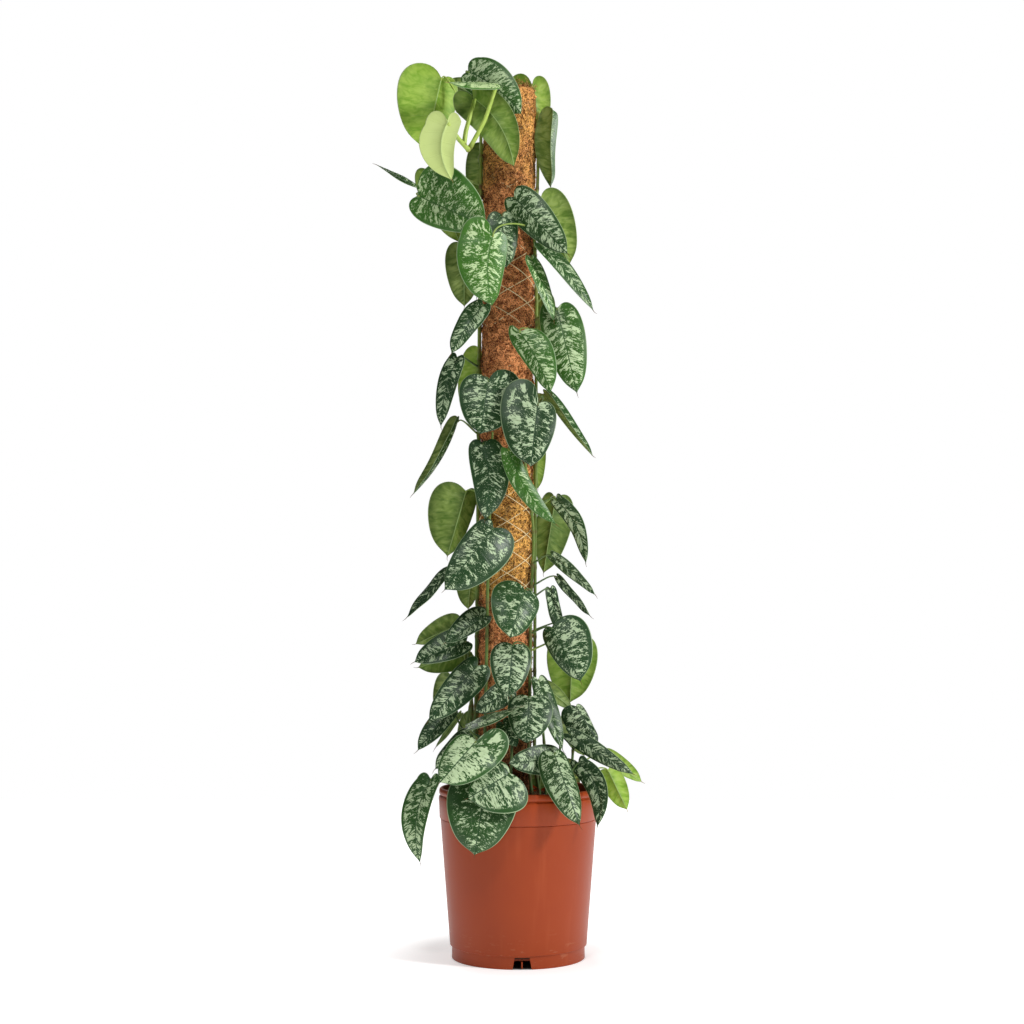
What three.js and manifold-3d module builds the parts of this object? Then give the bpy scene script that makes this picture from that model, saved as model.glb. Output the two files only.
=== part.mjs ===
// A potted satin pothos grown up a coir pole, about one and a half metres tall.
// Millimetres, Z up, the plant faces -Y and the pot stands on Z = 0. Everything is built round the
// pot's own axis and then moved a little, so that the whole plant's middle stands on the Z axis.
import * as THREE from 'three';
import Module from 'manifold-3d';

const wasm = await Module();
wasm.setup();

// Driving dimensions of the pot
const FOOT_RADIUS = 110;
const FOOT_HEIGHT = 21;
const FOOT_WIDTH = 6;
const FLOOR_UNDER = 12;
const FLOOR_TOP = 15;
const BODY_RADIUS_LOW = 113.2;
const BODY_RADIUS_HIGH = 129.3;
const COLLAR_FOOT = 229;
const COLLAR_RADIUS = 132;
const RIM_HEIGHT = 279;
const WALL = 2.3;
const POT_SIDES = 28;
const NOTCH_COUNT = 3;
const NOTCH_TURN = -87;
const NOTCH_LOW_WIDTH = 31;
const NOTCH_HIGH_WIDTH = 24;
const NOTCH_DEPTH = 16;
const RIB_WIDTH = 2;
const RIB_LENGTH = 30;
const DRAIN_COUNT = 4;
const DRAIN_TURN = 45;
const DRAIN_RADIUS = 7;
const DRAIN_RING = 74;
const LIP_FOOT = 263;
const LIP_NECK = 268;
const LIP_EDGE = 276;
const LIP_WIDTH = 8;
const INNER_BEND_RADIUS = 125.1;
const INNER_BEND_HEIGHT = 216;
const FLOOR_CORNER = 6;

// Driving dimensions of the filling and the pole
const GAP = 0.35;
const SOIL_TOP = 264;
const SOIL_EDGE = 258;
const SOIL_CROWN = 70;
const POLE_BASE = 24;
const POLE_TOP = 1460;
const CORE_RADIUS = 21;
const CORE_WALL = 2.2;
const CORE_TOP = POLE_TOP - 24;
const COIR_RADIUS = 43.2;
const COIR_RINGS = 9;
const POLE_SIDES = 16;
const POLE_X_LOW = -23;
const POLE_READ_AT = 262;
const POLE_LEAN = 9 / 1200;

// Driving dimensions of the plant
const VINE_RADIUS = 3.1;
const VINE_RING = 48.8;
const SHOOT_RADIUS = 2.6;
const STALK_RADIUS = 1.8;
const TWIG_RADIUS = 3;
const FORK_SWELL = 0.5;
const BLADE = 0.9;
const SIDEWAYS = 15.5;
const BACKWARDS = 14;

// Fineness of the plant, coarser where a leaf stands this far behind the pole's middle
const STEM_STEP = 180;
const STEM_SIDES = 4;
const TWIG_SIDES = 5;
const STALK_SIDES = 3;
const STALK_STEPS = 3;
const STALK_STEPS_BEHIND = 2;
const STALK_BEHIND = -40;
const BLADE_ROWS = 7;
const BLADE_ROWS_BEHIND = 6;
const BLADE_BEHIND = -25;
const SMOOTHING = 0.12;

// The point in front of the plant that leaf places are read from, against the upright plane of the pole
const EYE_DISTANCE = 3000;
const EYE = [-10, -EYE_DISTANCE, 580];

// The foot of every climbing stem, each [height, distance from the pole's middle]
const VINE_FOOT = [[222, 62], [272, 60], [318, VINE_RING + 1.5]];

// Climbing stems, each [turn about the pole in degrees, height], 0 to the right and -90 to the front
const VINES = {
  vine_crown: [[158, 262], [160, 620], [168, 1000], [172, 1300], [178, 1400], [196, 1452]],
  vine_left: [[190, 262], [188, 640], [181, 960], [184, 1200], [190, 1390]],
  vine_right: [[-12, 262], [-10, 700], [-12, 1090], [-24, 1165], [-30, 1210], [-8, 1300], [0, 1418]],
  vine_front_left: [[228, 262], [230, 480], [232, 640], [236, 770], [240, 868]],
  vine_front_right: [[-40, 262], [-34, 440], [-32, 600], [-20, 690], [-38, 770], [-62, 850]],
  vine_back_left: [[112, 262], [116, 700], [108, 1100], [122, 1446]],
  vine_back_right: [[60, 262], [52, 600], [66, 1000], [56, 1418]],
};

// Stems that rise from the soil beside the pole, each [x, y, z]
const SHOOTS = {
  shoot_left: [[-84, 12, 222], [-84, 12, 290], [-78, 6, 400], [-76, 2, 476]],
  shoot_left_low: [[-90, -34, 222], [-91, -36, 300], [-86, -34, 380], [-76, -32, 440]],
  shoot_front_left: [[-62, -78, 222], [-64, -84, 300], [-68, -82, 368]],
  shoot_front: [[-14, -70, 222], [-12, -68, 320], [-8, -62, 414]],
  shoot_front_right: [[46, -44, 222], [44, -40, 340], [34, -30, 440]],
  shoot_right: [[86, -12, 222], [88, -14, 300], [94, -22, 402]],
  shoot_right_low: [[74, -62, 222], [77, -68, 290], [84, -72, 322]],
  shoot_over_rim: [[-34, -97, 222], [-35, -102, 276], [-36, -107, 296]],
  shoot_back_left: [[-68, 74, 222], [-72, 76, 320], [-80, 70, 442]],
  shoot_back: [[-6, 82, 222], [-4, 86, 320], [-2, 86, 412]],
  shoot_back_right: [[64, 56, 222], [68, 62, 300], [76, 64, 392]],
};

// Young growth that leaves a climbing stem, each a run of points [x, z, nearer] read from the front
const TWIGS = {
  vine_left: [
    [[-63, 1384, 8], [-67, 1383, 56], [-84, 1352, 104], [-56, 1404, 116], [-37, 1464, 122]],
    [[-84, 1352, 104], [-102, 1372, 132], [-120, 1398, 146]],
    [[-92, 1361, 117], [-89, 1384, 114], [-74, 1439, 97]],
  ],
};

// Leaves by stem. Each one is
// [height where its stalk leaves the stem or 0 at the end of a twig, base, tip, right, left,
// bend, arch, right lobe, left lobe].
// Base and tip are [x, z, nearer], read from the front, with how far they stand before the pole's middle.
// Right and left are [across, nearer] from the midrib to the edge of a leaf that hangs tip down.
const LEAVES = {
  vine_crown: [
    [1448, [-84, 1486, 82], [6, 1413, 114], [38, -4], [32, -12], 8, 0.05, 0.5, 0.4],
    [1436, [-62, 1442, 26], [-122, 1470, 22], [20, -4], [24, -2], 0, 0.03, 0.5, 0.5],
    [1330, [-52, 1352, -54], [-70, 1262, -60], [28, -6], [34, -6], 0, 0.05, 0.6, 0.6],
    [990, [-62, 1006, -52], [-88, 906, -56], [30, -6], [32, -6], 0, 0.05, 0.5, 0.5],
    [622, [-78, 638, -32], [-84, 574, -38], [16, -4], [26, -4], 0, 0.05, 0.5, 0.5],
  ],
  vine_left: [
    [0, [-36, 1465, 122], [-119, 1468, 134], [10, 22], [1, -24], 0, 0, 0.4, 0.4],
    [0, [-120, 1399, 146], [-112, 1300, 152], [25, -1], [39, -2], -14, 0.05, 0.8, 1.0],
    [1382, [-131, 1473, 60], [-158, 1352, 62], [36, -24], [71, -4], 0, 0.06, 0.5, 0.8],
    [0, [-75, 1440, 96], [-7, 1323, 108], [34, 4], [40, -4], 14, 0.06, 0.8, 0.9],
    [1268, [-168, 1273, 60], [-53, 1220, 88], [69, 4], [39, -6], 0, 0.06, 0.5, 0.5],
    [1272, [-172, 1289, 6], [-239, 1326, 0], [4, 20], [4, -20], 0, 0, 0.3, 0.3],
    [1290, [-148, 1312, -12], [-98, 1192, -2], [34, -6], [34, 6], 0, 0.05, 0.6, 0.6],
    [1176, [-92, 1186, 2], [-91, 1084, -2], [30, -6], [33, -2], 0, 0.05, 0.5, 0.5],
    [1070, [-60, 1086, 50], [-113, 1004, 66], [18, 6], [21, -14], -3, 0.06, 0.5, 0.5],
    [982, [-103, 996, 44], [-130, 881, 56], [17, 10], [18, -16], -6, 0.07, 0.4, 0.5],
    [940, [-50, 958, 78], [-64, 868, 98], [58, -10], [47, -8], 0, 0.07, 1.2, 0.6],
    [868, [-101, 891, 20], [-177, 767, 30], [-8, 22], [21, -20], 10, 0, 0.3, 0.3],
  ],
  vine_right: [
    [740, [62, 758, -46], [42, 634, -48], [37, -10], [27, -6], 0, 0.05, 0.5, 0.5],
    [1404, [37, 1414, 12], [56, 1287, 22], [30, 16], [-38, -16], -17, 0.03, 0.4, 0.4],
    [1200, [-43, 1205, 118], [-44, 1085, 112], [30, -12], [56, -4], -8, 0.06, 0.4, 1.2],
    [1222, [-28, 1240, 60], [-20, 1150, 66], [26, -6], [28, 0], 0, 0.05, 0.5, 0.5],
    [916, [33, 918, 104], [21, 813, 124], [34, -6], [63, -4], 0, 0.07, 0.45, 1.6],
    [920, [44, 936, 30], [126, 831, 45], [9, 24], [-18, -20], -4, 0, 0.3, 0.3],
    [1030, [3, 1041, 78], [55, 938, 100], [35, -4], [22, -12], 4, 0.06, 0.1, 0.8],
    [1062, [66, 1080, 42], [99, 937, 58], [38, -10], [36, -6], 0, 0.06, 0.4, 0.6],
    [1150, [22, 1166, 62], [60, 1060, 72], [12, -14], [12, 14], 3, 0.04, 0.4, 0.4],
    [1090, [44, 1100, -22], [44, 1012, -26], [20, -4], [20, -4], 0, 0.05, 0.5, 0.5],
    [1252, [-6, 1270, 64], [84, 1174, 92], [34, -4], [29, -14], 0, 0.06, 0.5, 0.5],
    [1258, [38, 1266, 50], [87, 1155, 40], [43, -8], [30, 2], 0, 0.05, 0.6, 0.5],
    [1176, [38, 1190, 68], [127, 1077, 74], [14, -16], [12, 14], 5, 0.03, 0.4, 0.4],
    [846, [28, 860, -56], [33, 776, -58], [18, -4], [20, -4], 0, 0.05, 0.5, 0.5],
  ],
  vine_front_left: [
    [846, [-59, 852, 80], [-56, 724, 78], [37, -8], [30, -8], 8, 0.06, 0.4, 0.4],
    [756, [-88, 771, 14], [-119, 662, 16], [24, -24], [57, -6], 0, 0.06, 0.5, 0.5],
    [694, [-43, 709, 80], [-124, 606, 114], [54, -8], [31, -10], 0, 0.07, 0.6, 0.5],
    [626, [-116, 640, 50], [-187, 560, 48], [8, 10], [11, -12], 0, 0.03, 0.3, 0.3],
    [546, [-56, 563, 60], [-122, 518, 80], [15, 10], [25, -14], 0, 0.06, 0.5, 0.6],
  ],
  vine_front_right: [
    [836, [-16, 842, 98], [64, 716, 96], [15, -8], [19, -4], -10, 0.05, 0.3, 0.4],
    [586, [11, 605, 84], [-14, 526, 126], [31, -14], [52, -6], 0, 0.07, 0.4, 0.7],
    [496, [-9, 514, 92], [-17, 428, 126], [33, -6], [36, -8], 0, 0.07, 0.35, 0.4],
    [506, [92, 520, -8], [86, 418, -4], [44, -6], [45, -6], 0, 0.06, 0.6, 0.6],
    [534, [56, 543, 38], [104, 454, 64], [56, -8], [24, -14], 0, 0.06, 0.5, 0.4],
    [592, [54, 608, 6], [72, 526, 2], [11, -12], [12, 12], 0, 0.04, 0.4, 0.4],
    [650, [56, 664, 44], [129, 598, 56], [11, 12], [10, -12], 2, 0.05, 0.4, 0.4],
    [612, [66, 628, 16], [121, 562, 18], [7, 8], [8, -8], 0, 0.04, 0.4, 0.4],
    [742, [64, 758, 28], [113, 650, 42], [15, 10], [14, -12], 12, 0.05, 0.4, 0.4],
  ],
  vine_back_left: [
    [1442, [-48, 1462, -62], [-30, 1350, -84], [34, 8], [36, 8], 0, -0.06, 0.5, 0.6],
    [1262, [-132, 1280, -54], [-84, 1224, -88], [34, 6], [30, 6], 0, -0.06, 0.5, 0.5],
    [1170, [-80, 1188, -52], [-70, 1100, -84], [34, 6], [32, 6], 0, -0.06, 0.5, 0.5],
    [1066, [-20, 1084, -72], [-18, 984, -96], [30, 8], [32, 8], 0, -0.06, 0.5, 0.6],
    [930, [-46, 948, -76], [-48, 868, -102], [32, 6], [36, 6], 0, -0.06, 0.6, 0.5],
    [826, [-44, 846, -62], [-50, 744, -88], [30, 6], [28, 6], 0, -0.06, 0.5, 0.5],
    [680, [-50, 700, -60], [-90, 630, -88], [30, 6], [30, 6], 0, -0.06, 0.5, 0.5],
    [484, [-20, 500, -68], [-26, 428, -92], [28, 6], [28, 6], 0, -0.06, 0.5, 0.5],
  ],
  vine_back_right: [
    [1416, [24, 1461, -66], [38, 1388, -72], [30, -6], [44, -8], 0, 0.05, 1.0, 1.5],
    [1380, [-2, 1420, -78], [-4, 1330, -100], [24, 6], [26, 6], 0, -0.06, 0.5, 0.5],
    [1244, [42, 1260, -46], [72, 1190, -72], [24, 6], [26, 6], 0, -0.06, 0.5, 0.5],
    [1186, [-10, 1204, -70], [-8, 1104, -94], [30, 8], [32, 8], 0, -0.06, 0.5, 0.5],
    [1050, [72, 1066, -34], [90, 965, -58], [22, 6], [22, 6], 0, -0.06, 0.5, 0.5],
    [914, [22, 930, -64], [20, 834, -92], [34, 8], [34, 8], 0, -0.06, 0.5, 0.6],
    [794, [0, 812, -68], [2, 720, -92], [22, 6], [30, 6], 0, -0.06, 0.5, 0.5],
    [592, [-8, 610, -70], [-18, 524, -92], [28, 6], [30, 6], 0, -0.06, 0.5, 0.5],
    [530, [88, 546, -40], [92, 452, -62], [28, 6], [28, 6], 0, -0.06, 0.5, 0.5],
  ],
  shoot_left: [
    [466, [-98, 550, 4], [-172, 516, -6], [16, -10], [25, -4], 0, 0.04, 0.4, 0.4],
    [446, [-88, 520, 26], [-174, 486, 42], [20, 12], [30, -12], 0, 0.05, 0.5, 0.5],
    [430, [-82, 503, -8], [-168, 477, -6], [25, 10], [20, -10], 0, 0.05, 0.4, 0.5],
    [376, [-96, 400, -6], [-138, 344, -6], [5, 16], [6, -16], 0, 0, 0.4, 0.4],
  ],
  shoot_left_low: [
    [430, [-70, 478, 50], [-150, 388, 86], [32, 4], [26, -12], 0, 0.07, 0.6, 0.6],
    [370, [-112, 404, 28], [-168, 339, 50], [14, 10], [22, -10], 0, 0.06, 0.5, 0.5],
    [346, [-74, 366, 56], [-139, 308, 88], [18, 6], [22, -14], 0, 0.05, 0.4, 0.4],
    [276, [-146, 290, 60], [-163, 154, 82], [19, 16], [28, -14], -15, 0.06, 0.5, 0.5],
  ],
  shoot_front_left: [
    [366, [-84, 380, 88], [4, 412, 104], [6, -22], [10, 20], 0, 0.02, 0.4, 0.4],
    [330, [-72, 353, 150], [-131, 286, 180], [52, 2], [31, -12], 0, 0.07, 2.0, 0.3],
  ],
  shoot_front: [
    [406, [-14, 440, 62], [-72, 402, 72], [20, 0], [22, -4], 0, 0.05, 0.5, 0.5],
    [396, [18, 428, 76], [13, 351, 106], [42, -8], [35, -12], 0, 0.07, 0.4, 0.4],
    [366, [-26, 386, 66], [-2, 345, 84], [16, 0], [16, 0], 0, 0.05, 0.5, 0.5],
  ],
  shoot_front_right: [
    [442, [34, 456, 44], [74, 340, 80], [17, -10], [15, 8], 0, 0.04, 0.4, 0.4],
    [424, [42, 448, 24], [90, 408, 20], [14, -6], [13, 6], 0, 0.05, 0.4, 0.4],
    [316, [64, 326, 70], [-17, 318, 108], [26, 6], [26, -6], 0, 0.05, 0.5, 0.5],
  ],
  shoot_right: [
    [396, [97, 412, 36], [133, 354, 52], [10, -22], [34, -4], 0, 0.07, 0.4, 0.7],
    [340, [86, 366, 58], [192, 300, 74], [15, 8], [16, -10], 0, 0.06, 0.5, 0.5],
    [292, [150, 306, 14], [181, 241, 20], [20, -6], [22, -6], 0, 0.05, 0.5, 0.5],
    [310, [142, 330, -14], [206, 287, -20], [19, -6], [11, 6], 0, 0.04, 0.5, 0.5],
  ],
  shoot_right_low: [
    [304, [100, 318, 70], [131, 212, 114], [19, 10], [19, -10], 18, 0.05, 0.5, 0.5],
    [312, [60, 334, 104], [102, 215, 158], [20, -24], [34, -6], 0, 0.08, 0.4, 0.5],
  ],
  shoot_over_rim: [
    [288, [-15, 301, 138], [-84, 260, 160], [60, 8], [31, -8], 0, 0.06, 0.7, 0.4],
    [274, [-54, 286, 132], [-73, 166, 158], [57, -10], [60, -10], 0, 0.08, 0.5, 0.5],
  ],
  shoot_back_left: [
    [428, [-112, 462, -62], [-134, 400, -100], [22, 4], [24, 4], 0, -0.06, 0.5, 0.5],
    [366, [-62, 396, -96], [-88, 320, -134], [34, 6], [34, 6], 0, -0.06, 0.5, 0.5],
    [286, [-82, 300, -122], [-88, 215, -152], [36, 6], [36, 6], 0, -0.06, 0.5, 0.5],
  ],
  shoot_back: [
    [398, [0, 416, -100], [-4, 330, -138], [34, 6], [34, 6], 0, -0.06, 0.5, 0.5],
    [312, [-10, 330, -124], [-18, 240, -152], [32, 6], [34, 6], 0, -0.06, 0.5, 0.5],
  ],
  shoot_back_right: [
    [380, [88, 398, -74], [110, 330, -112], [24, 4], [26, 4], 0, -0.06, 0.5, 0.5],
    [296, [38, 328, -34], [36, 274, -52], [24, -4], [26, -2], 0, 0.04, 0.5, 0.5],
    [300, [72, 318, -112], [88, 236, -148], [28, 6], [28, 6], 0, -0.06, 0.5, 0.5],
  ],
};

const degrees = (a) => (a * Math.PI) / 180;
const poleX = (z) => POLE_X_LOW + (z - POLE_READ_AT) * POLE_LEAN;

// Solids from closed triangle lists
function solid(points, faces) {
  const mesh = new wasm.Mesh({
    numProp: 3,
    vertProperties: new Float32Array(points.flat()),
    triVerts: new Uint32Array(faces.flat()),
  });
  return new wasm.Manifold(mesh);
}

function solidFromGeometry(geometry) {
  const at = geometry.attributes.position;
  const points = [];
  const names = new Map();
  const which = [];
  for (let i = 0; i < at.count; i += 1) {
    const p = [at.getX(i), at.getY(i), at.getZ(i)];
    const key = p.map((v) => Math.round(v * 1e4)).join('_');
    if (!names.has(key)) {
      names.set(key, points.length);
      points.push(p);
    }
    which.push(names.get(key));
  }
  const index = geometry.index ? Array.from(geometry.index.array) : which.map((_, i) => i);
  const faces = [];
  for (let i = 0; i < index.length; i += 3) {
    const face = [which[index[i]], which[index[i + 1]], which[index[i + 2]]];
    if (face[0] !== face[1] && face[1] !== face[2] && face[2] !== face[0]) {
      faces.push(face);
    }
  }
  return solid(points, faces);
}

function turned(profile, sides) {
  const geometry = new THREE.LatheGeometry(profile.map(([r, z]) => new THREE.Vector2(r, z)), sides);
  geometry.rotateX(Math.PI / 2);
  return solidFromGeometry(geometry);
}

// A round bar through points, with one radius for each point
function bar(path, radii, sides) {
  const count = path.length;
  const points = [];
  let across = null;
  for (let i = 0; i < count; i += 1) {
    const before = path[Math.max(i - 1, 0)];
    const after = path[Math.min(i + 1, count - 1)];
    const along = after.clone().sub(before).normalize();
    if (across === null) {
      const guide = Math.abs(along.z) > 0.8 ? new THREE.Vector3(0, 1, 0) : new THREE.Vector3(0, 0, 1);
      across = guide.clone().addScaledVector(along, -guide.dot(along)).normalize();
    }
    across = across.clone().addScaledVector(along, -across.dot(along)).normalize();
    const other = along.clone().cross(across);
    for (let k = 0; k < sides; k += 1) {
      const angle = (2 * Math.PI * k) / sides;
      const p = path[i].clone();
      p.addScaledVector(across, radii[i] * Math.cos(angle));
      p.addScaledVector(other, radii[i] * Math.sin(angle));
      points.push(p.toArray());
    }
  }
  const faces = [];
  for (let i = 0; i < count - 1; i += 1) {
    for (let k = 0; k < sides; k += 1) {
      const a = i * sides + k;
      const b = i * sides + ((k + 1) % sides);
      faces.push([a, b, b + sides]);
      faces.push([a, b + sides, a + sides]);
    }
  }
  for (let k = 1; k < sides - 1; k += 1) {
    faces.push([0, k + 1, k]);
    const top = (count - 1) * sides;
    faces.push([top, top + k, top + k + 1]);
  }
  return solid(points, faces);
}

// Pot: a thin shell with a notched foot, a raised collar and a rolled lip
function makePot() {
  const inside = FOOT_RADIUS - FOOT_WIDTH;
  const profile = [
    [0, FLOOR_UNDER],
    [inside - 1, FLOOR_UNDER],
    [inside, 0],
    [FOOT_RADIUS, 0],
    [FOOT_RADIUS - 0.4, FOOT_HEIGHT],
    [BODY_RADIUS_LOW, FOOT_HEIGHT + 1.4],
    [BODY_RADIUS_HIGH, COLLAR_FOOT],
    [COLLAR_RADIUS - 1, COLLAR_FOOT + 1.6],
    [COLLAR_RADIUS, LIP_FOOT],
    [COLLAR_RADIUS - 2, LIP_NECK],
    [COLLAR_RADIUS - 2.2, LIP_EDGE],
    [COLLAR_RADIUS - 5.2, RIM_HEIGHT],
    [COLLAR_RADIUS - LIP_WIDTH, LIP_EDGE],
    [INNER_BEND_RADIUS, INNER_BEND_HEIGHT],
    [BODY_RADIUS_LOW - WALL, FOOT_HEIGHT + 3],
    [BODY_RADIUS_LOW - WALL - FLOOR_CORNER, FLOOR_TOP],
    [0, FLOOR_TOP],
  ];
  let pot = turned(profile, POT_SIDES);
  for (let i = 0; i < NOTCH_COUNT; i += 1) {
    const turn = degrees(NOTCH_TURN + 90 + (360 * i) / NOTCH_COUNT);
    const shape = new THREE.Shape();
    shape.moveTo(-NOTCH_LOW_WIDTH / 2, -2);
    shape.lineTo(NOTCH_LOW_WIDTH / 2, -2);
    shape.lineTo(NOTCH_HIGH_WIDTH / 2, FOOT_HEIGHT - 2.4);
    shape.lineTo(-NOTCH_HIGH_WIDTH / 2, FOOT_HEIGHT - 2.4);
    shape.closePath();
    const notch = new THREE.ExtrudeGeometry(shape, { depth: NOTCH_DEPTH, bevelEnabled: false, steps: 1 });
    notch.rotateX(Math.PI / 2);
    notch.translate(0, -FOOT_RADIUS + 12, 0);
    notch.rotateZ(turn);
    pot = pot.subtract(solidFromGeometry(notch));
    const rib = new THREE.BoxGeometry(RIB_WIDTH, RIB_LENGTH, FLOOR_UNDER - 1);
    rib.translate(0, -FOOT_RADIUS + RIB_LENGTH / 2 + 4, FLOOR_UNDER / 2 + 1);
    rib.rotateZ(turn);
    pot = pot.add(solidFromGeometry(rib));
  }
  for (let i = 0; i < DRAIN_COUNT; i += 1) {
    const drain = new THREE.CylinderGeometry(DRAIN_RADIUS, DRAIN_RADIUS, FLOOR_UNDER, 8);
    drain.rotateX(Math.PI / 2);
    drain.translate(DRAIN_RING, 0, FLOOR_UNDER + 2);
    drain.rotateZ(degrees(DRAIN_TURN + (360 * i) / DRAIN_COUNT));
    pot = pot.subtract(solidFromGeometry(drain));
  }
  return pot;
}

// The pole leans a little, and so does all that is built round it
function leaned(shape) {
  return shape.warp((v) => {
    v[0] += poleX(v[2]);
  });
}

// Pole core: a plastic tube, open at both ends
function makeCore() {
  const inner = CORE_RADIUS - CORE_WALL;
  const profile = [
    [inner, POLE_BASE],
    [CORE_RADIUS, POLE_BASE],
    [CORE_RADIUS, CORE_TOP],
    [inner, CORE_TOP],
    [inner, POLE_BASE],
  ];
  return leaned(turned(profile, POLE_SIDES));
}

// Coir mat: a thick sleeve round the tube, closed over its top, lumpy above the soil
function makeCoir() {
  const hollow = CORE_RADIUS + GAP;
  const profile = [[0, CORE_TOP + GAP], [hollow, CORE_TOP + GAP], [hollow, POLE_BASE]];
  const shoulder = POLE_TOP - 14;
  for (let i = 0; i <= COIR_RINGS; i += 1) {
    const z = POLE_BASE + ((shoulder - POLE_BASE) * i) / COIR_RINGS;
    const lump = z < SOIL_TOP ? -0.6 : 0.9 * Math.sin(z / 31) + 0.5 * Math.sin(z / 12.7 + 1);
    profile.push([COIR_RADIUS + lump, z]);
  }
  profile.push([COIR_RADIUS - 6, POLE_TOP - 4]);
  profile.push([COIR_RADIUS - 20, POLE_TOP - 1]);
  profile.push([0, POLE_TOP]);
  return leaned(turned(profile, POLE_SIDES));
}

// Soil: fills the pot to a little under the lip, with plain holes for the pole and the stems
function makeSoil(feet) {
  const profile = [
    [0, FLOOR_TOP + GAP],
    [BODY_RADIUS_LOW - WALL - FLOOR_CORNER - GAP, FLOOR_TOP + GAP],
    [BODY_RADIUS_LOW - WALL - GAP, FOOT_HEIGHT + 3 + GAP],
    [INNER_BEND_RADIUS - 2 * GAP, INNER_BEND_HEIGHT],
    [COLLAR_RADIUS - LIP_WIDTH - 2 * GAP, SOIL_EDGE],
    [COLLAR_RADIUS - LIP_WIDTH - 6, SOIL_EDGE + 2],
    [SOIL_CROWN, SOIL_TOP - 1],
    [0, SOIL_TOP],
  ];
  let soil = turned(profile, POT_SIDES);
  const well = [
    [0, POLE_BASE - GAP],
    [COIR_RADIUS + GAP, POLE_BASE - GAP],
    [COIR_RADIUS + GAP + 1.6, SOIL_TOP + 6],
    [0, SOIL_TOP + 6],
  ];
  soil = soil.subtract(leaned(turned(well, POLE_SIDES)));
  for (const [path, radius] of feet) {
    soil = soil.subtract(bar(path, path.map(() => radius + 0.8), 5));
  }
  return soil;
}

// Climbing stem: rises from the soil to the mat and winds up along it
function vinePath(turns) {
  const points = [];
  const way = VINE_FOOT.map(([z, r]) => [turns[0][0], z, r]);
  for (const [turn, z] of turns.slice(1)) {
    way.push([turn, z, VINE_RING]);
  }
  for (let i = 0; i < way.length - 1; i += 1) {
    const [a0, z0, r0] = way[i];
    const [a1, z1, r1] = way[i + 1];
    const steps = Math.max(1, Math.round((z1 - z0) / STEM_STEP));
    for (let k = 0; k < steps; k += 1) {
      const u = k / steps;
      points.push([a0 + (a1 - a0) * u, z0 + (z1 - z0) * u, r0 + (r1 - r0) * u]);
    }
  }
  points.push(way[way.length - 1]);
  return points.map(([a, z, r]) => {
    const x = poleX(z) + r * Math.cos(degrees(a));
    return new THREE.Vector3(x, r * Math.sin(degrees(a)), z);
  });
}

function shootPath(points) {
  return points.map((p) => new THREE.Vector3(...p));
}

// The point of a stem at a height, where a stalk forks off
function atHeight(path, z) {
  for (let i = 0; i < path.length - 1; i += 1) {
    if (z <= path[i + 1].z) {
      const u = (z - path[i].z) / (path[i + 1].z - path[i].z);
      return path[i].clone().lerp(path[i + 1], u);
    }
  }
  return path[path.length - 1].clone();
}

// A point read from the front, carried along the line of sight to its own distance
function seen([x, z, nearer]) {
  const k = 1 - nearer / EYE_DISTANCE;
  return new THREE.Vector3(EYE[0] + (x - EYE[0]) * k, -nearer, EYE[2] + (z - EYE[2]) * k);
}

// The directions of a leaf: along its midrib, towards the eye and to its right
function leafFrame([, baseRead, tipRead]) {
  const base = seen(baseRead);
  const tip = seen(tipRead);
  const length = base.distanceTo(tip);
  const along = tip.clone().sub(base).normalize();
  const middle = base.clone().add(tip).multiplyScalar(0.5);
  const view = new THREE.Vector3(...EYE).sub(middle).normalize();
  const near = view.addScaledVector(along, -view.dot(along)).normalize();
  const right = near.clone().cross(along);
  return { base, along, near, right, length };
}

// A point of a heart-shaped blade. t runs from 0 at the base to pi at the tip, w from 0 on the midrib
// to 1 on the edge. P is the way along the midrib and Q the way out from it: the lobe draws the edge
// back behind the base, and the edge is full near the base and runs out to a fine tip.
function leafPoint(leaf, frame, t, w, side) {
  const [, , , right, left, bend, arch, rightLobe, leftLobe] = leaf;
  const c = (1 - Math.cos(t)) / 2;
  const s = Math.max(Math.sin(t), 0);
  const lobe = side > 0 ? rightLobe : leftLobe;
  const [across, nearer] = side > 0 ? right : left;
  const p = c - lobe * s * (1 - t / Math.PI) ** 3;
  const q = s ** (0.8 + 1.7 * c ** 12 + 0.55 * lobe * (1 - c) ** 6) * (1.16 - 0.62 * c ** 1.3);
  const m = c ** 1.6;
  const P = m + w * (p - m);
  const Q = w * q;
  const bow = 4 * Math.max(P, 0) * (1 - P);
  const point = frame.base.clone();
  point.addScaledVector(frame.along, P * frame.length);
  point.addScaledVector(frame.right, side * across * Q + bend * bow);
  point.addScaledVector(frame.near, nearer * Q + arch * frame.length * bow);
  return point;
}

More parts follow.
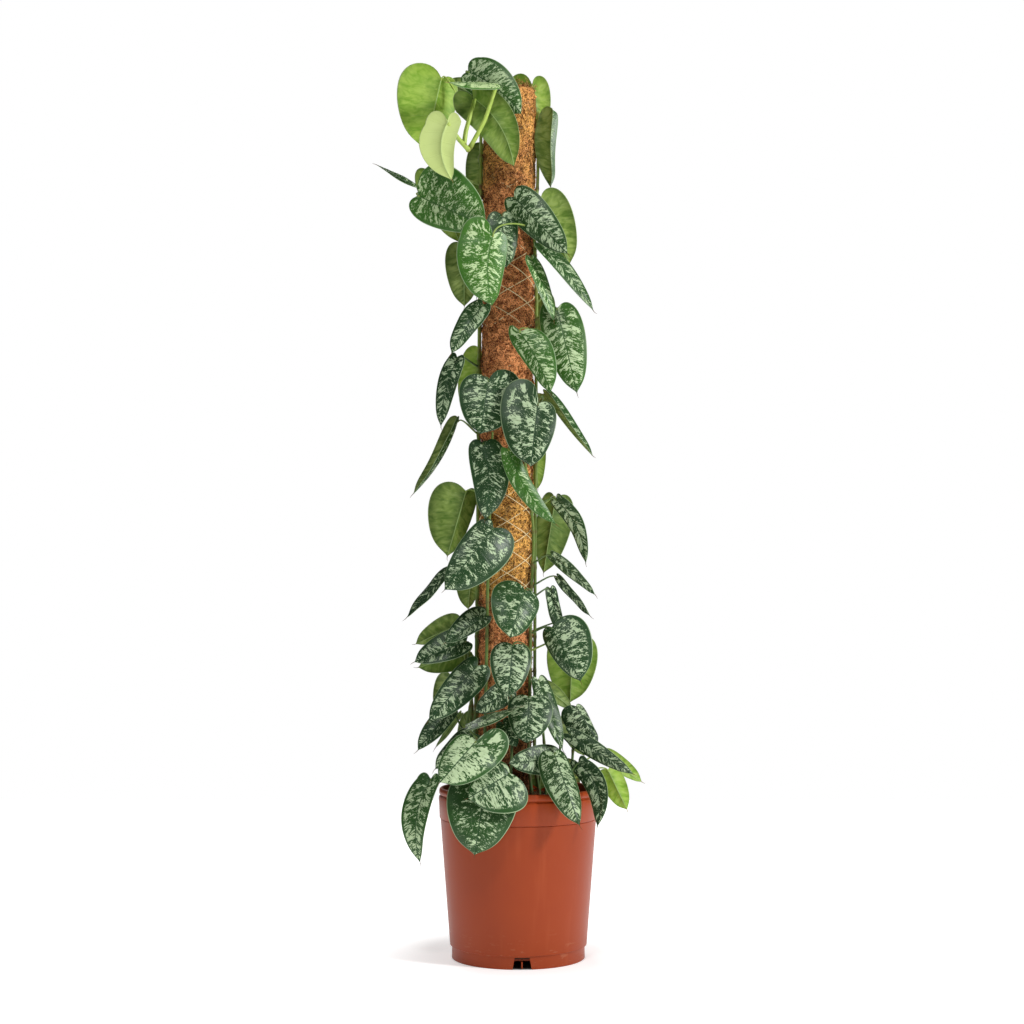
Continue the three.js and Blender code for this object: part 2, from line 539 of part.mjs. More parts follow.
// Leaf blade: a sheet of rows across the midrib, then the same sheet again under it, joined at the edge
function makeBlade(leaf) {
  const frame = leafFrame(leaf);
  const [, [, , baseNearer]] = leaf;
  const rows = baseNearer < BLADE_BEHIND ? BLADE_ROWS_BEHIND : BLADE_ROWS;
  const sheet = [leafPoint(leaf, frame, 0, 0, 1)];
  for (let i = 1; i < rows; i += 1) {
    const t = (Math.PI * i) / rows;
    sheet.push(leafPoint(leaf, frame, t, 1, 1));
    sheet.push(leafPoint(leaf, frame, t, 0, 1));
    sheet.push(leafPoint(leaf, frame, t, 1, -1));
  }
  sheet.push(leafPoint(leaf, frame, Math.PI, 0, 1));
  const last = sheet.length - 1;
  const faces = [[0, 2, 1], [0, 3, 2]];
  for (let i = 0; i < rows - 2; i += 1) {
    const a = 1 + 3 * i;
    faces.push([a, a + 1, a + 4], [a, a + 4, a + 3]);
    faces.push([a + 1, a + 2, a + 5], [a + 1, a + 5, a + 4]);
  }
  const end = last - 3;
  faces.push([end, end + 1, last], [end + 1, end + 2, last]);
  const normals = sheet.map(() => new THREE.Vector3());
  for (const [a, b, c] of faces) {
    const ab = sheet[b].clone().sub(sheet[a]);
    const ac = sheet[c].clone().sub(sheet[a]);
    const n = ab.cross(ac).normalize();
    normals[a].add(n);
    normals[b].add(n);
    normals[c].add(n);
  }
  const points = [];
  for (const way of [0.5, -0.5]) {
    for (let i = 0; i <= last; i += 1) {
      points.push(sheet[i].clone().addScaledVector(normals[i].normalize(), way * BLADE).toArray());
    }
  }
  const under = last + 1;
  const skin = [];
  for (const [a, b, c] of faces) {
    skin.push([a, b, c], [under + a, under + c, under + b]);
  }
  const edge = [0];
  for (let i = 0; i < rows - 1; i += 1) {
    edge.push(1 + 3 * i);
  }
  edge.push(last);
  for (let i = rows - 2; i >= 0; i -= 1) {
    edge.push(3 + 3 * i);
  }
  for (let i = 0; i < edge.length; i += 1) {
    const a = edge[i];
    const b = edge[(i + 1) % edge.length];
    skin.push([a, b, under + b], [a, under + b, under + a]);
  }
  return solid(points, skin);
}

// Leaf stalk: leaves the stem outwards and upwards and arches over into the blade
function makeStalk(leaf, path) {
  const frame = leafFrame(leaf);
  const [height, [, , baseNearer]] = leaf;
  const fork = atHeight(path, height);
  const end = frame.base.clone().addScaledVector(frame.along, 2);
  const reach = fork.distanceTo(end);
  const out = end.clone().sub(fork).setZ(0).normalize();
  out.add(new THREE.Vector3(fork.x - poleX(fork.z), fork.y, 0).normalize()).normalize();
  const first = fork.clone().addScaledVector(out, reach * 0.35);
  first.z += Math.max(end.z - fork.z, 0) * 0.3 + reach * 0.1;
  const second = end.clone().addScaledVector(frame.along, -reach * 0.3);
  const curve = new THREE.CubicBezierCurve3(fork, first, second, end);
  const points = curve.getPoints(baseNearer < STALK_BEHIND ? STALK_STEPS_BEHIND : STALK_STEPS);
  const radii = points.map((_, i) => (i === 0 ? STALK_RADIUS + FORK_SWELL : STALK_RADIUS));
  return bar(points, radii, STALK_SIDES);
}

const feet = [];
const stems = {};
for (const [name, turns] of Object.entries(VINES)) {
  stems[name] = [vinePath(turns), VINE_RADIUS];
}
for (const [name, points] of Object.entries(SHOOTS)) {
  stems[name] = [shootPath(points), SHOOT_RADIUS];
}

const plant = new THREE.Group();
plant.name = 'potted_scindapsus';

function add(name, shape, material) {
  const mesh = shape.simplify(SMOOTHING).getMesh();
  const geometry = new THREE.BufferGeometry();
  geometry.setAttribute('position', new THREE.BufferAttribute(new Float32Array(mesh.vertProperties), 3));
  geometry.setIndex(new THREE.BufferAttribute(new Uint32Array(mesh.triVerts), 1));
  geometry.translate(SIDEWAYS, BACKWARDS, 0);
  geometry.computeVertexNormals();
  const node = new THREE.Mesh(geometry, new THREE.MeshStandardMaterial(material));
  node.name = name;
  plant.add(node);
}

const TERRACOTTA = { color: 0xb4532f, roughness: 0.42, metalness: 0 };
const EARTH = { color: 0x241a14, roughness: 0.95, metalness: 0 };
const GREY = { color: 0x4a4a48, roughness: 0.5, metalness: 0 };
const COIR = { color: 0x8a4f2c, roughness: 0.95, metalness: 0 };
const GREEN = { color: 0x4c7a4e, roughness: 0.55, metalness: 0 };

for (const [name, [path, radius]] of Object.entries(stems)) {
  const way = path[0].clone().sub(path[1]).normalize();
  feet.push([[path[0].clone().addScaledVector(way, 1), path[1]], radius]);
}

add('pot', makePot(), TERRACOTTA);
add('soil', makeSoil(feet), EARTH);
add('pole_core', makeCore(), GREY);
add('pole_coir', makeCoir(), COIR);
for (const [name, [path, radius]] of Object.entries(stems)) {
  const last = path.length - 1;
  let body = bar(path, path.map((_, i) => radius * (i === last ? 0.6 : 1)), STEM_SIDES);
  for (const twig of TWIGS[name] || []) {
    const points = twig.map(seen);
    body = body.add(bar(points, points.map(() => TWIG_RADIUS), TWIG_SIDES));
  }
  for (const leaf of LEAVES[name]) {
    const blade = makeBlade(leaf);
    body = body.add(leaf[0] > 0 ? blade.add(makeStalk(leaf, path)) : blade);
  }
  add(name, body, { ...GREEN });
}

export default plant;
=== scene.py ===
# %% [markdown]
# # A satin pothos on its coir pole
# A shop-grown climber: seven stems are tied to a pole of coconut fibre, eleven shorter ones fill the
# pot, and every stem carries heart-shaped leaves flecked with silver. A plain solid model gives each
# piece its place. This lesson dresses it: each plain piece is hidden, and a finer one takes its place.
# The first cell loads the plain model.

# %% Load the plain model
import math
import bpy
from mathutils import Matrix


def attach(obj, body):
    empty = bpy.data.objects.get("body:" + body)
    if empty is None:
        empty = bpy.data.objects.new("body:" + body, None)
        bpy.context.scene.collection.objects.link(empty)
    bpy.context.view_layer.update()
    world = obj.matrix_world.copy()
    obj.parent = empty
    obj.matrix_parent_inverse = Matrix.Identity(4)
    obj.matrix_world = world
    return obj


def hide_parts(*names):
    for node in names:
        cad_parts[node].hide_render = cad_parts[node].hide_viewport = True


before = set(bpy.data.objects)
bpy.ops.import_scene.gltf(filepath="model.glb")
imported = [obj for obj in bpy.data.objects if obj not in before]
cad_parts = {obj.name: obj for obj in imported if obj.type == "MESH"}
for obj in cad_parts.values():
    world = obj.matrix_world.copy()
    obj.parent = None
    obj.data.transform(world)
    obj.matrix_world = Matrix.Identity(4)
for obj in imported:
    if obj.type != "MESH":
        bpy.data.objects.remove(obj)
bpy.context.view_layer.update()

from types import SimpleNamespace

import bpy
import numpy as np
from mathutils import Vector


def rounded(values):
    """Numbers to three places, for the printed notes."""
    return [round(v, 3) for v in values]


# %% [markdown]
# ## Camera, floor and light
# The picture was taken from about three metres with a short telephoto lens, a little below the middle
# of the plant and tilted up three degrees. Camera places are worked out in the pot's own axes, in
# millimetres. The pot stands a little to the right of the model's origin and behind it, so one helper
# turns such a point into metres in the model's frame.

# %% Camera
MM = 0.001
SIDEWAYS = 15.5
BACKWARDS = 14.0
CAMERA_AT = (-10.5, -3000.0, 580.0)
CAMERA_TILT = 3.0
LENS = 62.95
SENSOR_WIDTH = 36.0


def metres(points):
    """Points in millimetres from the pot's axis, moved sideways and scaled to metres."""
    return (np.asarray(points, float) + (SIDEWAYS, BACKWARDS, 0.0)) * MM


scene = bpy.context.scene
camera = bpy.data.objects.new("camera", bpy.data.cameras.new("camera"))
camera.data.lens = LENS
camera.data.sensor_width = SENSOR_WIDTH
camera.location = metres(CAMERA_AT)
camera.rotation_euler = (math.radians(90 + CAMERA_TILT), 0.0, 0.0)
scene.collection.objects.link(camera)
scene.camera = camera
print("camera at", rounded(camera.location))

# %% [markdown]
# The background is a plain white studio: a pale floor and a pale world round it. A large soft light
# high on the right gives the pot its bright right side. A weaker one above the camera lifts the
# front, a very weak one opens the shadows on the left, and one behind the plant rims the leaves. The
# lights themselves stay out of the camera's sight.

# %% Lights
scene.view_settings.view_transform = "Standard"
WORLD_LIGHT = 0.09
WORLD_SEEN = 1.0
LIGHTS = {
    # name: (place in metres, aimed at, width in metres, watts)
    "key": ((2.9, -1.6, 2.4), (0.0, 0.0, 0.95), 0.6, 98.0),
    "front": ((-0.4, -2.0, 2.9), (0.0, 0.0, 0.7), 0.6, 20.0),
    "fill": ((-2.2, -2.0, 2.3), (0.0, 0.0, 1.3), 1.2, 3.5),
    "rim": ((-0.8, 2.4, 2.4), (0.0, 0.0, 1.0), 1.6, 22.0),
}
for name, (place, target, width, watts) in LIGHTS.items():
    lamp = bpy.data.lights.new(name, "AREA")
    lamp.shape = "DISK"
    lamp.size = width
    lamp.energy = watts
    stand = bpy.data.objects.new(name, lamp)
    stand.location = place
    beam = Vector(target) - stand.location
    stand.rotation_euler = beam.to_track_quat("-Z", "Y").to_euler()
    stand.visible_camera = False
    scene.collection.objects.link(stand)

world = bpy.data.worlds.new("studio")
world.use_nodes = True
backdrop = world.node_tree.nodes["Background"]
backdrop.inputs["Color"].default_value = (1.0, 1.0, 1.0, 1.0)
rays = world.node_tree.nodes.new("ShaderNodeLightPath")
level = world.node_tree.nodes.new("ShaderNodeMapRange")
level.inputs["To Min"].default_value = WORLD_LIGHT
level.inputs["To Max"].default_value = WORLD_SEEN
world.node_tree.links.new(rays.outputs["Is Camera Ray"], level.inputs["Value"])
world.node_tree.links.new(level.outputs["Result"], backdrop.inputs["Strength"])
scene.world = world
print(len(LIGHTS), "lights")

# %% [markdown]
# ## Writing materials as sums
# A material's pattern is arithmetic on a few readings, such as how far a point lies from a leaf's
# midrib. Wiring that by hand takes dozens of nodes. Here one small class wraps a socket and lets
# Python's own signs add the Math nodes, and one method adds any other kind of node.

# %% Shader arithmetic
class Reading:
    """A socket in a material. Each sign between readings or numbers adds one Math node."""

    def __init__(self, look, socket):
        self.look = look
        self.socket = socket

    def __add__(self, other):
        return self.look.sign("ADD", self, other)

    def __sub__(self, other):
        return self.look.sign("SUBTRACT", self, other)

    def __rsub__(self, other):
        return self.look.sign("SUBTRACT", other, self)

    def __mul__(self, other):
        return self.look.sign("MULTIPLY", self, other)

    __radd__ = __add__
    __rmul__ = __mul__


class Look:
    """One material, with a Principled shader whose constant values are given by name."""

    def __init__(self, name, **constants):
        self.material = bpy.data.materials.new(name)
        self.material.use_nodes = True
        self.tree = self.material.node_tree
        self.shader = self.tree.nodes["Principled BSDF"]
        self.ends(**constants)
        self.here = self.node("ShaderNodeTexCoord", {}, {}, "Object")

    def node(self, kind, settings, sockets, out=0):
        """Adds a node: first its settings, then the values or links of its sockets."""
        made = self.tree.nodes.new(kind)
        for key, value in settings.items():
            setattr(made, key, value)
        for key, value in sockets.items():
            self.feed(made.inputs[key], value)
        return Reading(self, made.outputs[out])

    def feed(self, socket, value):
        """Links a reading to a socket, or sets the socket to a number or to a colour's code."""
        if isinstance(value, Reading):
            self.tree.links.new(value.socket, socket)
        else:
            socket.default_value = paint(value) if isinstance(value, str) else value

    def ends(self, **sockets):
        """Feeds the shader's own sockets."""
        for socket, value in sockets.items():
            self.feed(self.shader.inputs[socket.replace("_", " ")], value)

    def sign(self, kind, *values):
        """One Math node."""
        return self.node("ShaderNodeMath", {"operation": kind}, dict(enumerate(values)))

    def mix(self, part, first, second):
        """The first colour where part is 0, the second where it is 1."""
        return self.node("ShaderNodeMix", {"data_type": "RGBA"}, {0: part, 6: first, 7: second}, 2)

    def coats(self, colour, *layers):
        """A first colour with others laid over it in turn, each given as (part, colour)."""
        for part, over in layers:
            colour = self.mix(part, colour, over)
        return colour

    def step(self, value, low, high):
        """0 below low, 1 above high, and smooth between them."""
        ends = {"Value": value, "From Min": low, "From Max": high}
        return self.node("ShaderNodeMapRange", {"interpolation_type": "SMOOTHSTEP"}, ends)

    def noise(self, place, scale, detail=2.0, rough=0.5, warp=0.0):
        """Cloudy noise, from about 0.2 to 0.8. Three scales in a row draw it out into streaks."""
        if isinstance(scale, tuple):
            place = self.node("ShaderNodeVectorMath", {"operation": "MULTIPLY"}, {0: place, 1: scale})
            scale = 1.0
        sockets = {"Vector": place, "Scale": scale, "Detail": detail, "Roughness": rough}
        return self.node("ShaderNodeTexNoise", {}, {**sockets, "Distortion": warp})

    def map(self, name):
        """Three numbers that the piece's mesh carries under a name."""
        return self.node("ShaderNodeAttribute", {"attribute_name": name}, {}, "Vector")

    def split(self, place):
        """The three numbers of a place."""
        node = self.node("ShaderNodeSeparateXYZ", {}, {0: place}).socket.node
        return [Reading(self, node.outputs[i]) for i in range(3)]

    def bump(self, height, depth):
        """A normal that follows a height, whose full step is depth metres."""
        return self.node("ShaderNodeBump", {}, {"Height": height, "Distance": depth})


def paint(code):
    """A colour as painters' screens write it, such as a54f31, as the linear values that a shader takes."""
    parts = [int(code[i:i + 2], 16) / 255 for i in (0, 2, 4)]
    return (*(p / 12.92 if p <= 0.04045 else ((p + 0.055) / 1.055) ** 2.4 for p in parts), 1.0)


# %% [markdown]
# The floor glows faintly, so that it stays white out to its edges. The glow weakens towards the pot,
# which leaves room for a soft shadow, and it ends under the pot's foot. Under the foot the floor is
# also painted grey: a painted contact shadow.

# %% Floor
POT_AXIS = (SIDEWAYS * MM, BACKWARDS * MM, 0.0)
FLOOR_HALF = 2.4
FOOT_SHADOW_RADII = (0.104, 0.113)
SHADOW_ZONE = (0.11, 0.3)
FLOOR_CORNERS = ((-1, -1), (1, -1), (1, 1), (-1, 1))
floor_look = Look("studio_floor", Roughness=0.85, Specular_IOR_Level=0.2, Emission_Strength=0.88)
places = {0: floor_look.here, 1: POT_AXIS}
from_pot = floor_look.node("ShaderNodeVectorMath", {"operation": "DISTANCE"}, places, "Value")
lit = floor_look.step(from_pot, *FOOT_SHADOW_RADII)
pale = floor_look.mix(floor_look.noise(floor_look.here, 3.0, 4.0), "f4f4f4", "f7f7f7")
glow = floor_look.mix(floor_look.step(from_pot, *SHADOW_ZONE), "b4b4b4", "ffffff")
# Under the pot's foot the floor is painted grey and gives off no light: a painted contact shadow.
floor_look.ends(
    Base_Color=floor_look.mix(lit, "8c8c8c", pale),
    Emission_Color=floor_look.mix(lit, "000000", glow),
)
floor_mesh = bpy.data.meshes.new("floor")
corners = [(x * FLOOR_HALF, y * FLOOR_HALF, 0.0) for x, y in FLOOR_CORNERS]
floor_mesh.from_pydata(corners, [], [(0, 1, 2, 3)])
floor_mesh.materials.append(floor_look.material)
floor = bpy.data.objects.new("floor", floor_mesh)
scene.collection.objects.link(floor)
print("floor", 2 * FLOOR_HALF, "metres wide")

# %% [markdown]
# ## One way to make every surface
# Stems, leaf stalks, fibres and even leaf blades are all tubes: a row of rings from one end to the
# other, closed by a fan at each end. A blade is only a very flat tube, whose rings run over the upper
# face and back along the underside. So one helper, `tubes`, turns rings into faces for everything, and
# a `Piece` gathers what belongs together into one mesh with the maps that its materials read.

# %% Rings to faces
def tubes(rings):
    """Points and faces of closed tubes.

    rings is [tube, ring, point round the ring, xyz], in millimetres. Point k of a ring joins point
    k + 1, and each ring joins the next. A point in the middle of the first and last ring closes the ends.
    """
    count, length, around = rings.shape[:3]
    ends = rings[:, [0, -1]].mean(axis=2)
    points = np.concatenate([rings.reshape(count, -1, 3), ends], axis=1)
    ring = np.arange(length * around).reshape(length, around)
    turn = np.roll(ring, -1, axis=1)
    walls = np.stack([ring[:-1], turn[:-1], turn[1:], ring[1:]], axis=-1).reshape(-1, 4)
    first = np.full(around, length * around)
    caps = np.concatenate([
        np.stack([first, turn[0], ring[0]], axis=-1),
        np.stack([first + 1, ring[-1], turn[-1]], axis=-1),
    ])
    shift = (np.arange(count) * points.shape[1])[:, None, None]
    return points.reshape(-1, 3), (walls + shift).reshape(-1, 4), (caps + shift).reshape(-1, 3)


class Piece:
    """Gathers surfaces into one mesh."""

    def __init__(self, name, *looks):
        self.name = name
        self.looks = looks
        self.points = []
        self.corners = []
        self.sizes = []
        self.slots = []
        self.maps = {}
        self.total = 0

    def add(self, rings, slot=0, walls=None, **maps):
        """Adds tubes. walls gives each wall face round a ring its own material, and maps the readings."""
        rings = rings if rings.ndim == 4 else rings[None]
        points, quads, fans = tubes(rings)
        around = rings.shape[2]
        self.corners += [(quads + self.total).ravel(), (fans + self.total).ravel()]
        self.sizes += [np.full(len(quads), 4), np.full(len(fans), 3)]
        if walls is None:
            self.slots.append(np.full(len(quads) + len(fans), slot))
        else:
            self.slots += [np.tile(walls, len(quads) // around), np.tile(walls, len(fans) // around)]
        for name, values in maps.items():
            values = np.broadcast_to(values, rings.shape)
            ends = values[:, [0, -1]].mean(axis=2)
            flat = np.concatenate([values.reshape(len(rings), -1, 3), ends], axis=1)
            self.maps.setdefault(name, []).append((self.total, flat.reshape(-1, 3)))
        self.points.append(points)
        self.total += len(points)

    def mesh(self):
        """The gathered surfaces as one mesh in metres, in their own place."""
        points = metres(np.concatenate(self.points))
        corners = np.concatenate(self.corners)
        sizes = np.concatenate(self.sizes)
        mesh = bpy.data.meshes.new(self.name)
        mesh.vertices.add(len(points))
        mesh.vertices.foreach_set("co", points.ravel())
        mesh.loops.add(len(corners))
        mesh.loops.foreach_set("vertex_index", corners)
        mesh.polygons.add(len(sizes))
        mesh.polygons.foreach_set("loop_start", np.concatenate([[0], np.cumsum(sizes)[:-1]]))
        mesh.polygons.foreach_set("material_index", np.concatenate(self.slots))
        for name, rows in self.maps.items():
            values = np.zeros((self.total, 3))
            for start, flat in rows:
                values[start:start + len(flat)] = flat
            mesh.attributes.new(name, "FLOAT_VECTOR", "POINT").data.foreach_set("vector", values.ravel())
        for look in self.looks:
            mesh.materials.append(look.material)
        mesh.update(calc_edges=True)
        mesh.shade_smooth()
        return mesh

    def finish(self, slot, *replaced):
        """Makes the object, hangs it under the root body and hides the plain pieces that it stands for."""
        mesh = self.mesh()
        made = bpy.data.objects.new(self.name, mesh)
        scene.collection.objects.link(made)
        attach(made, "root")
        if replaced:
            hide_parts(*replaced)
        print(self.name, "has", len(mesh.loops) - 2 * len(mesh.polygons), "triangles")
        return made


# %% [markdown]
# A round bar is a line with a ring at each of its points. Every ring stands square to the line. To keep
# neighbouring rings from twisting, each bar takes the one world axis that its line never runs along,
# and lays the ring's first point towards it.

# %% Bars along lines
WAVES = 20


def unit(vectors):
    """Vectors scaled to length one."""
    return vectors / np.maximum(np.linalg.norm(vectors, axis=-1, keepdims=True), 1e-9)


def bars(lines, radii, sides, groove=0.0):
    """Rings round lines.

    point = line + radius * (cos(angle) * across + sin(angle) * other), with across and other square to
    the line. A groove pulls the side that looks up in by that share of the radius.
    """
    lines = lines if lines.ndim == 3 else lines[None]
    radii = np.broadcast_to(radii, lines.shape[:2])[..., None, None]
    along = unit(np.gradient(lines, axis=1))
    least = np.abs(along).max(axis=1).argmin(axis=-1)
    guide = np.eye(3)[least][:, None]
    across = unit(guide - along * (guide * along).sum(-1, keepdims=True))
    other = np.cross(along, across)
    angle = (np.arange(sides) * 2 * np.pi / sides)[:, None]
    spokes = np.cos(angle) * across[:, :, None] + np.sin(angle) * other[:, :, None]
    if groove:
        up = unit(np.array([0.0, 0.0, 1.0]) - along * along[..., 2:])
        facing = np.maximum((spokes * up[:, :, None]).sum(-1, keepdims=True), 0.0)
        radii = radii * (1 - groove * facing ** 6)
    return lines[:, :, None] + radii * spokes


def waves(points, size, seed):
    """A smooth random height: the sum of plane waves about size long, running in random directions."""
    rng = np.random.default_rng(seed)
    run = unit(rng.normal(size=(WAVES, 3))) * rng.uniform(0.6, 1.7, (WAVES, 1)) * 2 * np.pi / size
    return np.cos(points @ run.T + rng.uniform(0, 2 * np.pi, WAVES)).sum(-1) / math.sqrt(WAVES / 2)


def smooth(values, times=2):
    """Rounds the corners of a line by averaging each point with its neighbours, the ends kept."""
    for _ in range(times):
        middle = (values[:-2] + 2 * values[1:-1] + values[2:]) / 4
        values = np.concatenate([values[:1], middle, values[-1:]])
    return values


# %% [markdown]
# ## The pot
# A nursery pot is blown or injected from thin terracotta-coloured plastic: a tapered body, a smooth
# collar with a fine step under it, a rolled lip, and a foot ring with three notches that let water run
# out. It could be modelled by extruding a circle again and again. Turning one profile round the axis is
# shorter, and the notches and drain holes are then cut out with a Boolean, as a mould's cores cut them.

# %% Pot shell
HUB = 2.0
FOOT_RADIUS = 110.0
FOOT_HEIGHT = 21.0
FLOOR_UNDER = 12.0
FLOOR_UPPER = 15.0
FLOOR_MIDDLE = 60.0
BODY_LOW = 113.2
BODY_HIGH = 129.3
BODY_FLARE = BODY_HIGH - BODY_LOW
COLLAR_FOOT = 229.0
COLLAR_RADIUS = 132.0
LIP_FOOT = 262.0
RIM_HEIGHT = 279.0
INNER_BEND_RADIUS = 127.4
INNER_BEND_HEIGHT = 216.0
WALL = 2.3
POT_SIDES = 168


def turned(profile, sides):
    """Rings of a turned shape: each (radius, height) of the profile carried round the axis."""
    profile = np.asarray(profile, float)
    angle = np.arange(sides) * 2 * np.pi / sides
    spokes = np.stack([np.cos(angle), np.sin(angle)], axis=-1)
    flat = profile[:, None, :1] * spokes
    return np.concatenate([flat, np.broadcast_to(profile[:, None, 1:], flat[..., :1].shape)], axis=-1)


def corner(radius, height, *steps):
    """Profile points by their steps out and up from one corner of the profile."""
    return [(radius + out, height + up) for out, up in steps]


pot_profile = [
    (HUB, FLOOR_UNDER), (FLOOR_MIDDLE, FLOOR_UNDER), (FOOT_RADIUS - 7, FLOOR_UNDER),
    *corner(FOOT_RADIUS, 0, (-6.4, 10), (-6, 0.8), (-5.2, 0), (-0.8, 0), (0, 0.8)),
    *corner(FOOT_RADIUS, FOOT_HEIGHT, (-0.4, -0.6), (0, 0)),
    *corner(BODY_LOW, FOOT_HEIGHT, (-1, 0.5), (-0.2, 1), (0, 1.8)),
    (BODY_LOW + 0.3 * BODY_FLARE, 84), (BODY_LOW + 0.65 * BODY_FLARE, 156),
    *corner(BODY_HIGH, COLLAR_FOOT, (-0.1, -1.4), (-0.9, -0.7), (-0.8, -0.1)),
    *corner(COLLAR_RADIUS, COLLAR_FOOT, (-1.6, 0.4), (-1, 1.4)),
    *corner(COLLAR_RADIUS, LIP_FOOT, (0, 0), (-0.3, 2.6), (-2.6, 4), (-2.9, 5.6), (-1.2, 6.6)),
    *corner(COLLAR_RADIUS, RIM_HEIGHT, (-0.6, -9), (-0.5, -5), (-1.2, -2), (-2.8, -0.4), (-5, 0)),
    *corner(COLLAR_RADIUS, RIM_HEIGHT, (-7, -1), (-8, -4), (-8, -17)),
    (INNER_BEND_RADIUS - WALL, INNER_BEND_HEIGHT),
    *corner(BODY_LOW - WALL, FOOT_HEIGHT, (0, 5), (-2, -2), (-6, -6)),
    (FLOOR_MIDDLE, FLOOR_UPPER), (HUB, FLOOR_UPPER),
]
pot_look = Look("satin_terracotta_plastic", Specular_IOR_Level=0.25)
pot_piece = Piece("pot_shell", pot_look)
pot_piece.add(turned(pot_profile, POT_SIDES))
pot = pot_piece.finish("pot_plastic", "pot")

# %% [markdown]
# The cutters are three tapered blocks through the foot ring and four drain pins through the floor. A rib
# stands in the middle of each notch, as the photograph shows in the front one.

# %% Notches and drain holes
NOTCH_TURNS = (3.0, 123.0, 243.0)
NOTCH_HALF_LOW = 15.8
NOTCH_HALF_HIGH = 12.0
NOTCH_TOP = FOOT_HEIGHT - 2.4
DRAIN_TURNS = (45.0, 135.0, 225.0, 315.0)
DRAIN_RADIUS = 7.0
DRAIN_AT = 74.0
DRAIN_SIDES = 24
RIB_HALF = 1.0
RIB_TOP = FOOT_HEIGHT - 9.2
SHARP_FROM = 40.0


def spun(points, degrees):
    """Points turned about the upright axis."""
    a = math.radians(degrees)
    turn = np.array([[math.cos(a), -math.sin(a), 0], [math.sin(a), math.cos(a), 0], [0, 0, 1]])
    return points @ turn.T


def block(low, high, inner, outer, bottom, top):
    """Rings of a tapered block that looks along -Y: half width low at the bottom and high at the top."""
    return np.array([
        [(half, -inner, height), (-half, -inner, height), (-half, -outer, height), (half, -outer, height)]
        for half, height in ((low, bottom), (high, top))
    ])


cutters = Piece("cutter", pot_look)
for turn in NOTCH_TURNS:
    notch = block(NOTCH_HALF_LOW, NOTCH_HALF_HIGH, FOOT_RADIUS - 12, FOOT_RADIUS + 4, -2, NOTCH_TOP)
    cutters.add(spun(notch, turn))
for turn in DRAIN_TURNS:
    pin = turned([(DRAIN_RADIUS, 2), (DRAIN_RADIUS, 26)], DRAIN_SIDES) + (DRAIN_AT, 0.0, 0.0)
    cutters.add(spun(pin, turn))
cutter = bpy.data.objects.new("cutter", cutters.mesh())
scene.collection.objects.link(cutter)
cut = pot.modifiers.new("notches", "BOOLEAN")
cut.operation = "DIFFERENCE"
cut.solver = "EXACT"
cut.object = cutter
shaped = bpy.data.meshes.new_from_object(pot.evaluated_get(bpy.context.evaluated_depsgraph_get()))
pot.modifiers.clear()
pot.data = shaped
bpy.data.objects.remove(cutter)
shaped.shade_smooth()
shaped.set_sharp_from_angle(angle=math.radians(SHARP_FROM))
print("pot with notches:", len(shaped.polygons), "faces")

# %% Ribs in the notches
ribs = Piece("pot_ribs", pot_look)
for turn in NOTCH_TURNS:
    rib = block(RIB_HALF, RIB_HALF, FOOT_RADIUS - 34, FOOT_RADIUS - 4, 1.0, RIB_TOP)
    ribs.add(spun(rib, turn))
ribs.finish("pot_plastic").data.shade_flat()

# %% [markdown]
# The plastic is satin: a broad soft shine, a faint orange-peel grain from the mould, paler scuffs
# near the foot where pots rub in their trays, and a little dust and soil under the rim.

# %% Pot finish
height = pot_look.split(pot_look.here)[2]
cloud = pot_look.noise(pot_look.here, 9.0, 4.0, 0.6)
dirt = pot_look.noise(pot_look.here, 55.0, 4.0, 0.7)
grain = pot_look.noise(pot_look.here, 900.0, 2.0)
streak = pot_look.noise(pot_look.here, (60.0, 60.0, 3.0), 3.0)
scuff = pot_look.noise(pot_look.here, (40.0, 40.0, 160.0), 4.0, 0.7)
at_foot = 1 - pot_look.step(height, 0.012, 0.07)
at_rim = pot_look.step(height, 0.262, 0.268)
colour = pot_look.coats(
    pot_look.mix(cloud, "923610", "9e4014"),
    (pot_look.step(streak, 0.55, 0.8) * 0.25, "b2532b"),
    (pot_look.step(scuff, 0.58, 0.66) * at_foot * 0.35, "b87a5c"),
    (pot_look.step(dirt, 0.5, 0.62) * at_rim * 0.35, "6e3a26"),
)
pot_look.ends(
    Base_Color=colour,
    Roughness=0.34 + cloud * 0.14 + pot_look.step(scuff, 0.5, 0.7) * at_foot * 0.2,
    Normal=pot_look.bump(grain + cloud * 4, 0.00008),
)
print("pot finish:", len(pot_look.tree.nodes), "nodes")

# %% [markdown]
# ## The soil
# Peaty potting mix fills the pot to a finger under the lip. Its surface is a disc that rises and falls
# in soft lumps, strewn with crumbs of peat, bark chips and dry root ends. A crumb is a five-sided tube
# of four rings, so that hundreds of them stay light.

# %% Soil bed
SOIL_TOP = 264.0
SOIL_FALL = 4.6
SOIL_REACH = 122.0
SOIL_EDGE = 123.0
SOIL_SIDES = 144
SOIL_UNDER = [(2, 15.6), (60, 15.6), (103.5, 15.6), (110.2, 24.6), (124.3, 216), (123.2, 255)]


def soil_level(far):
    """The soil's height: its top, less a fall that grows with the square of the distance out."""
    return SOIL_TOP - SOIL_FALL * (far / SOIL_REACH) ** 2


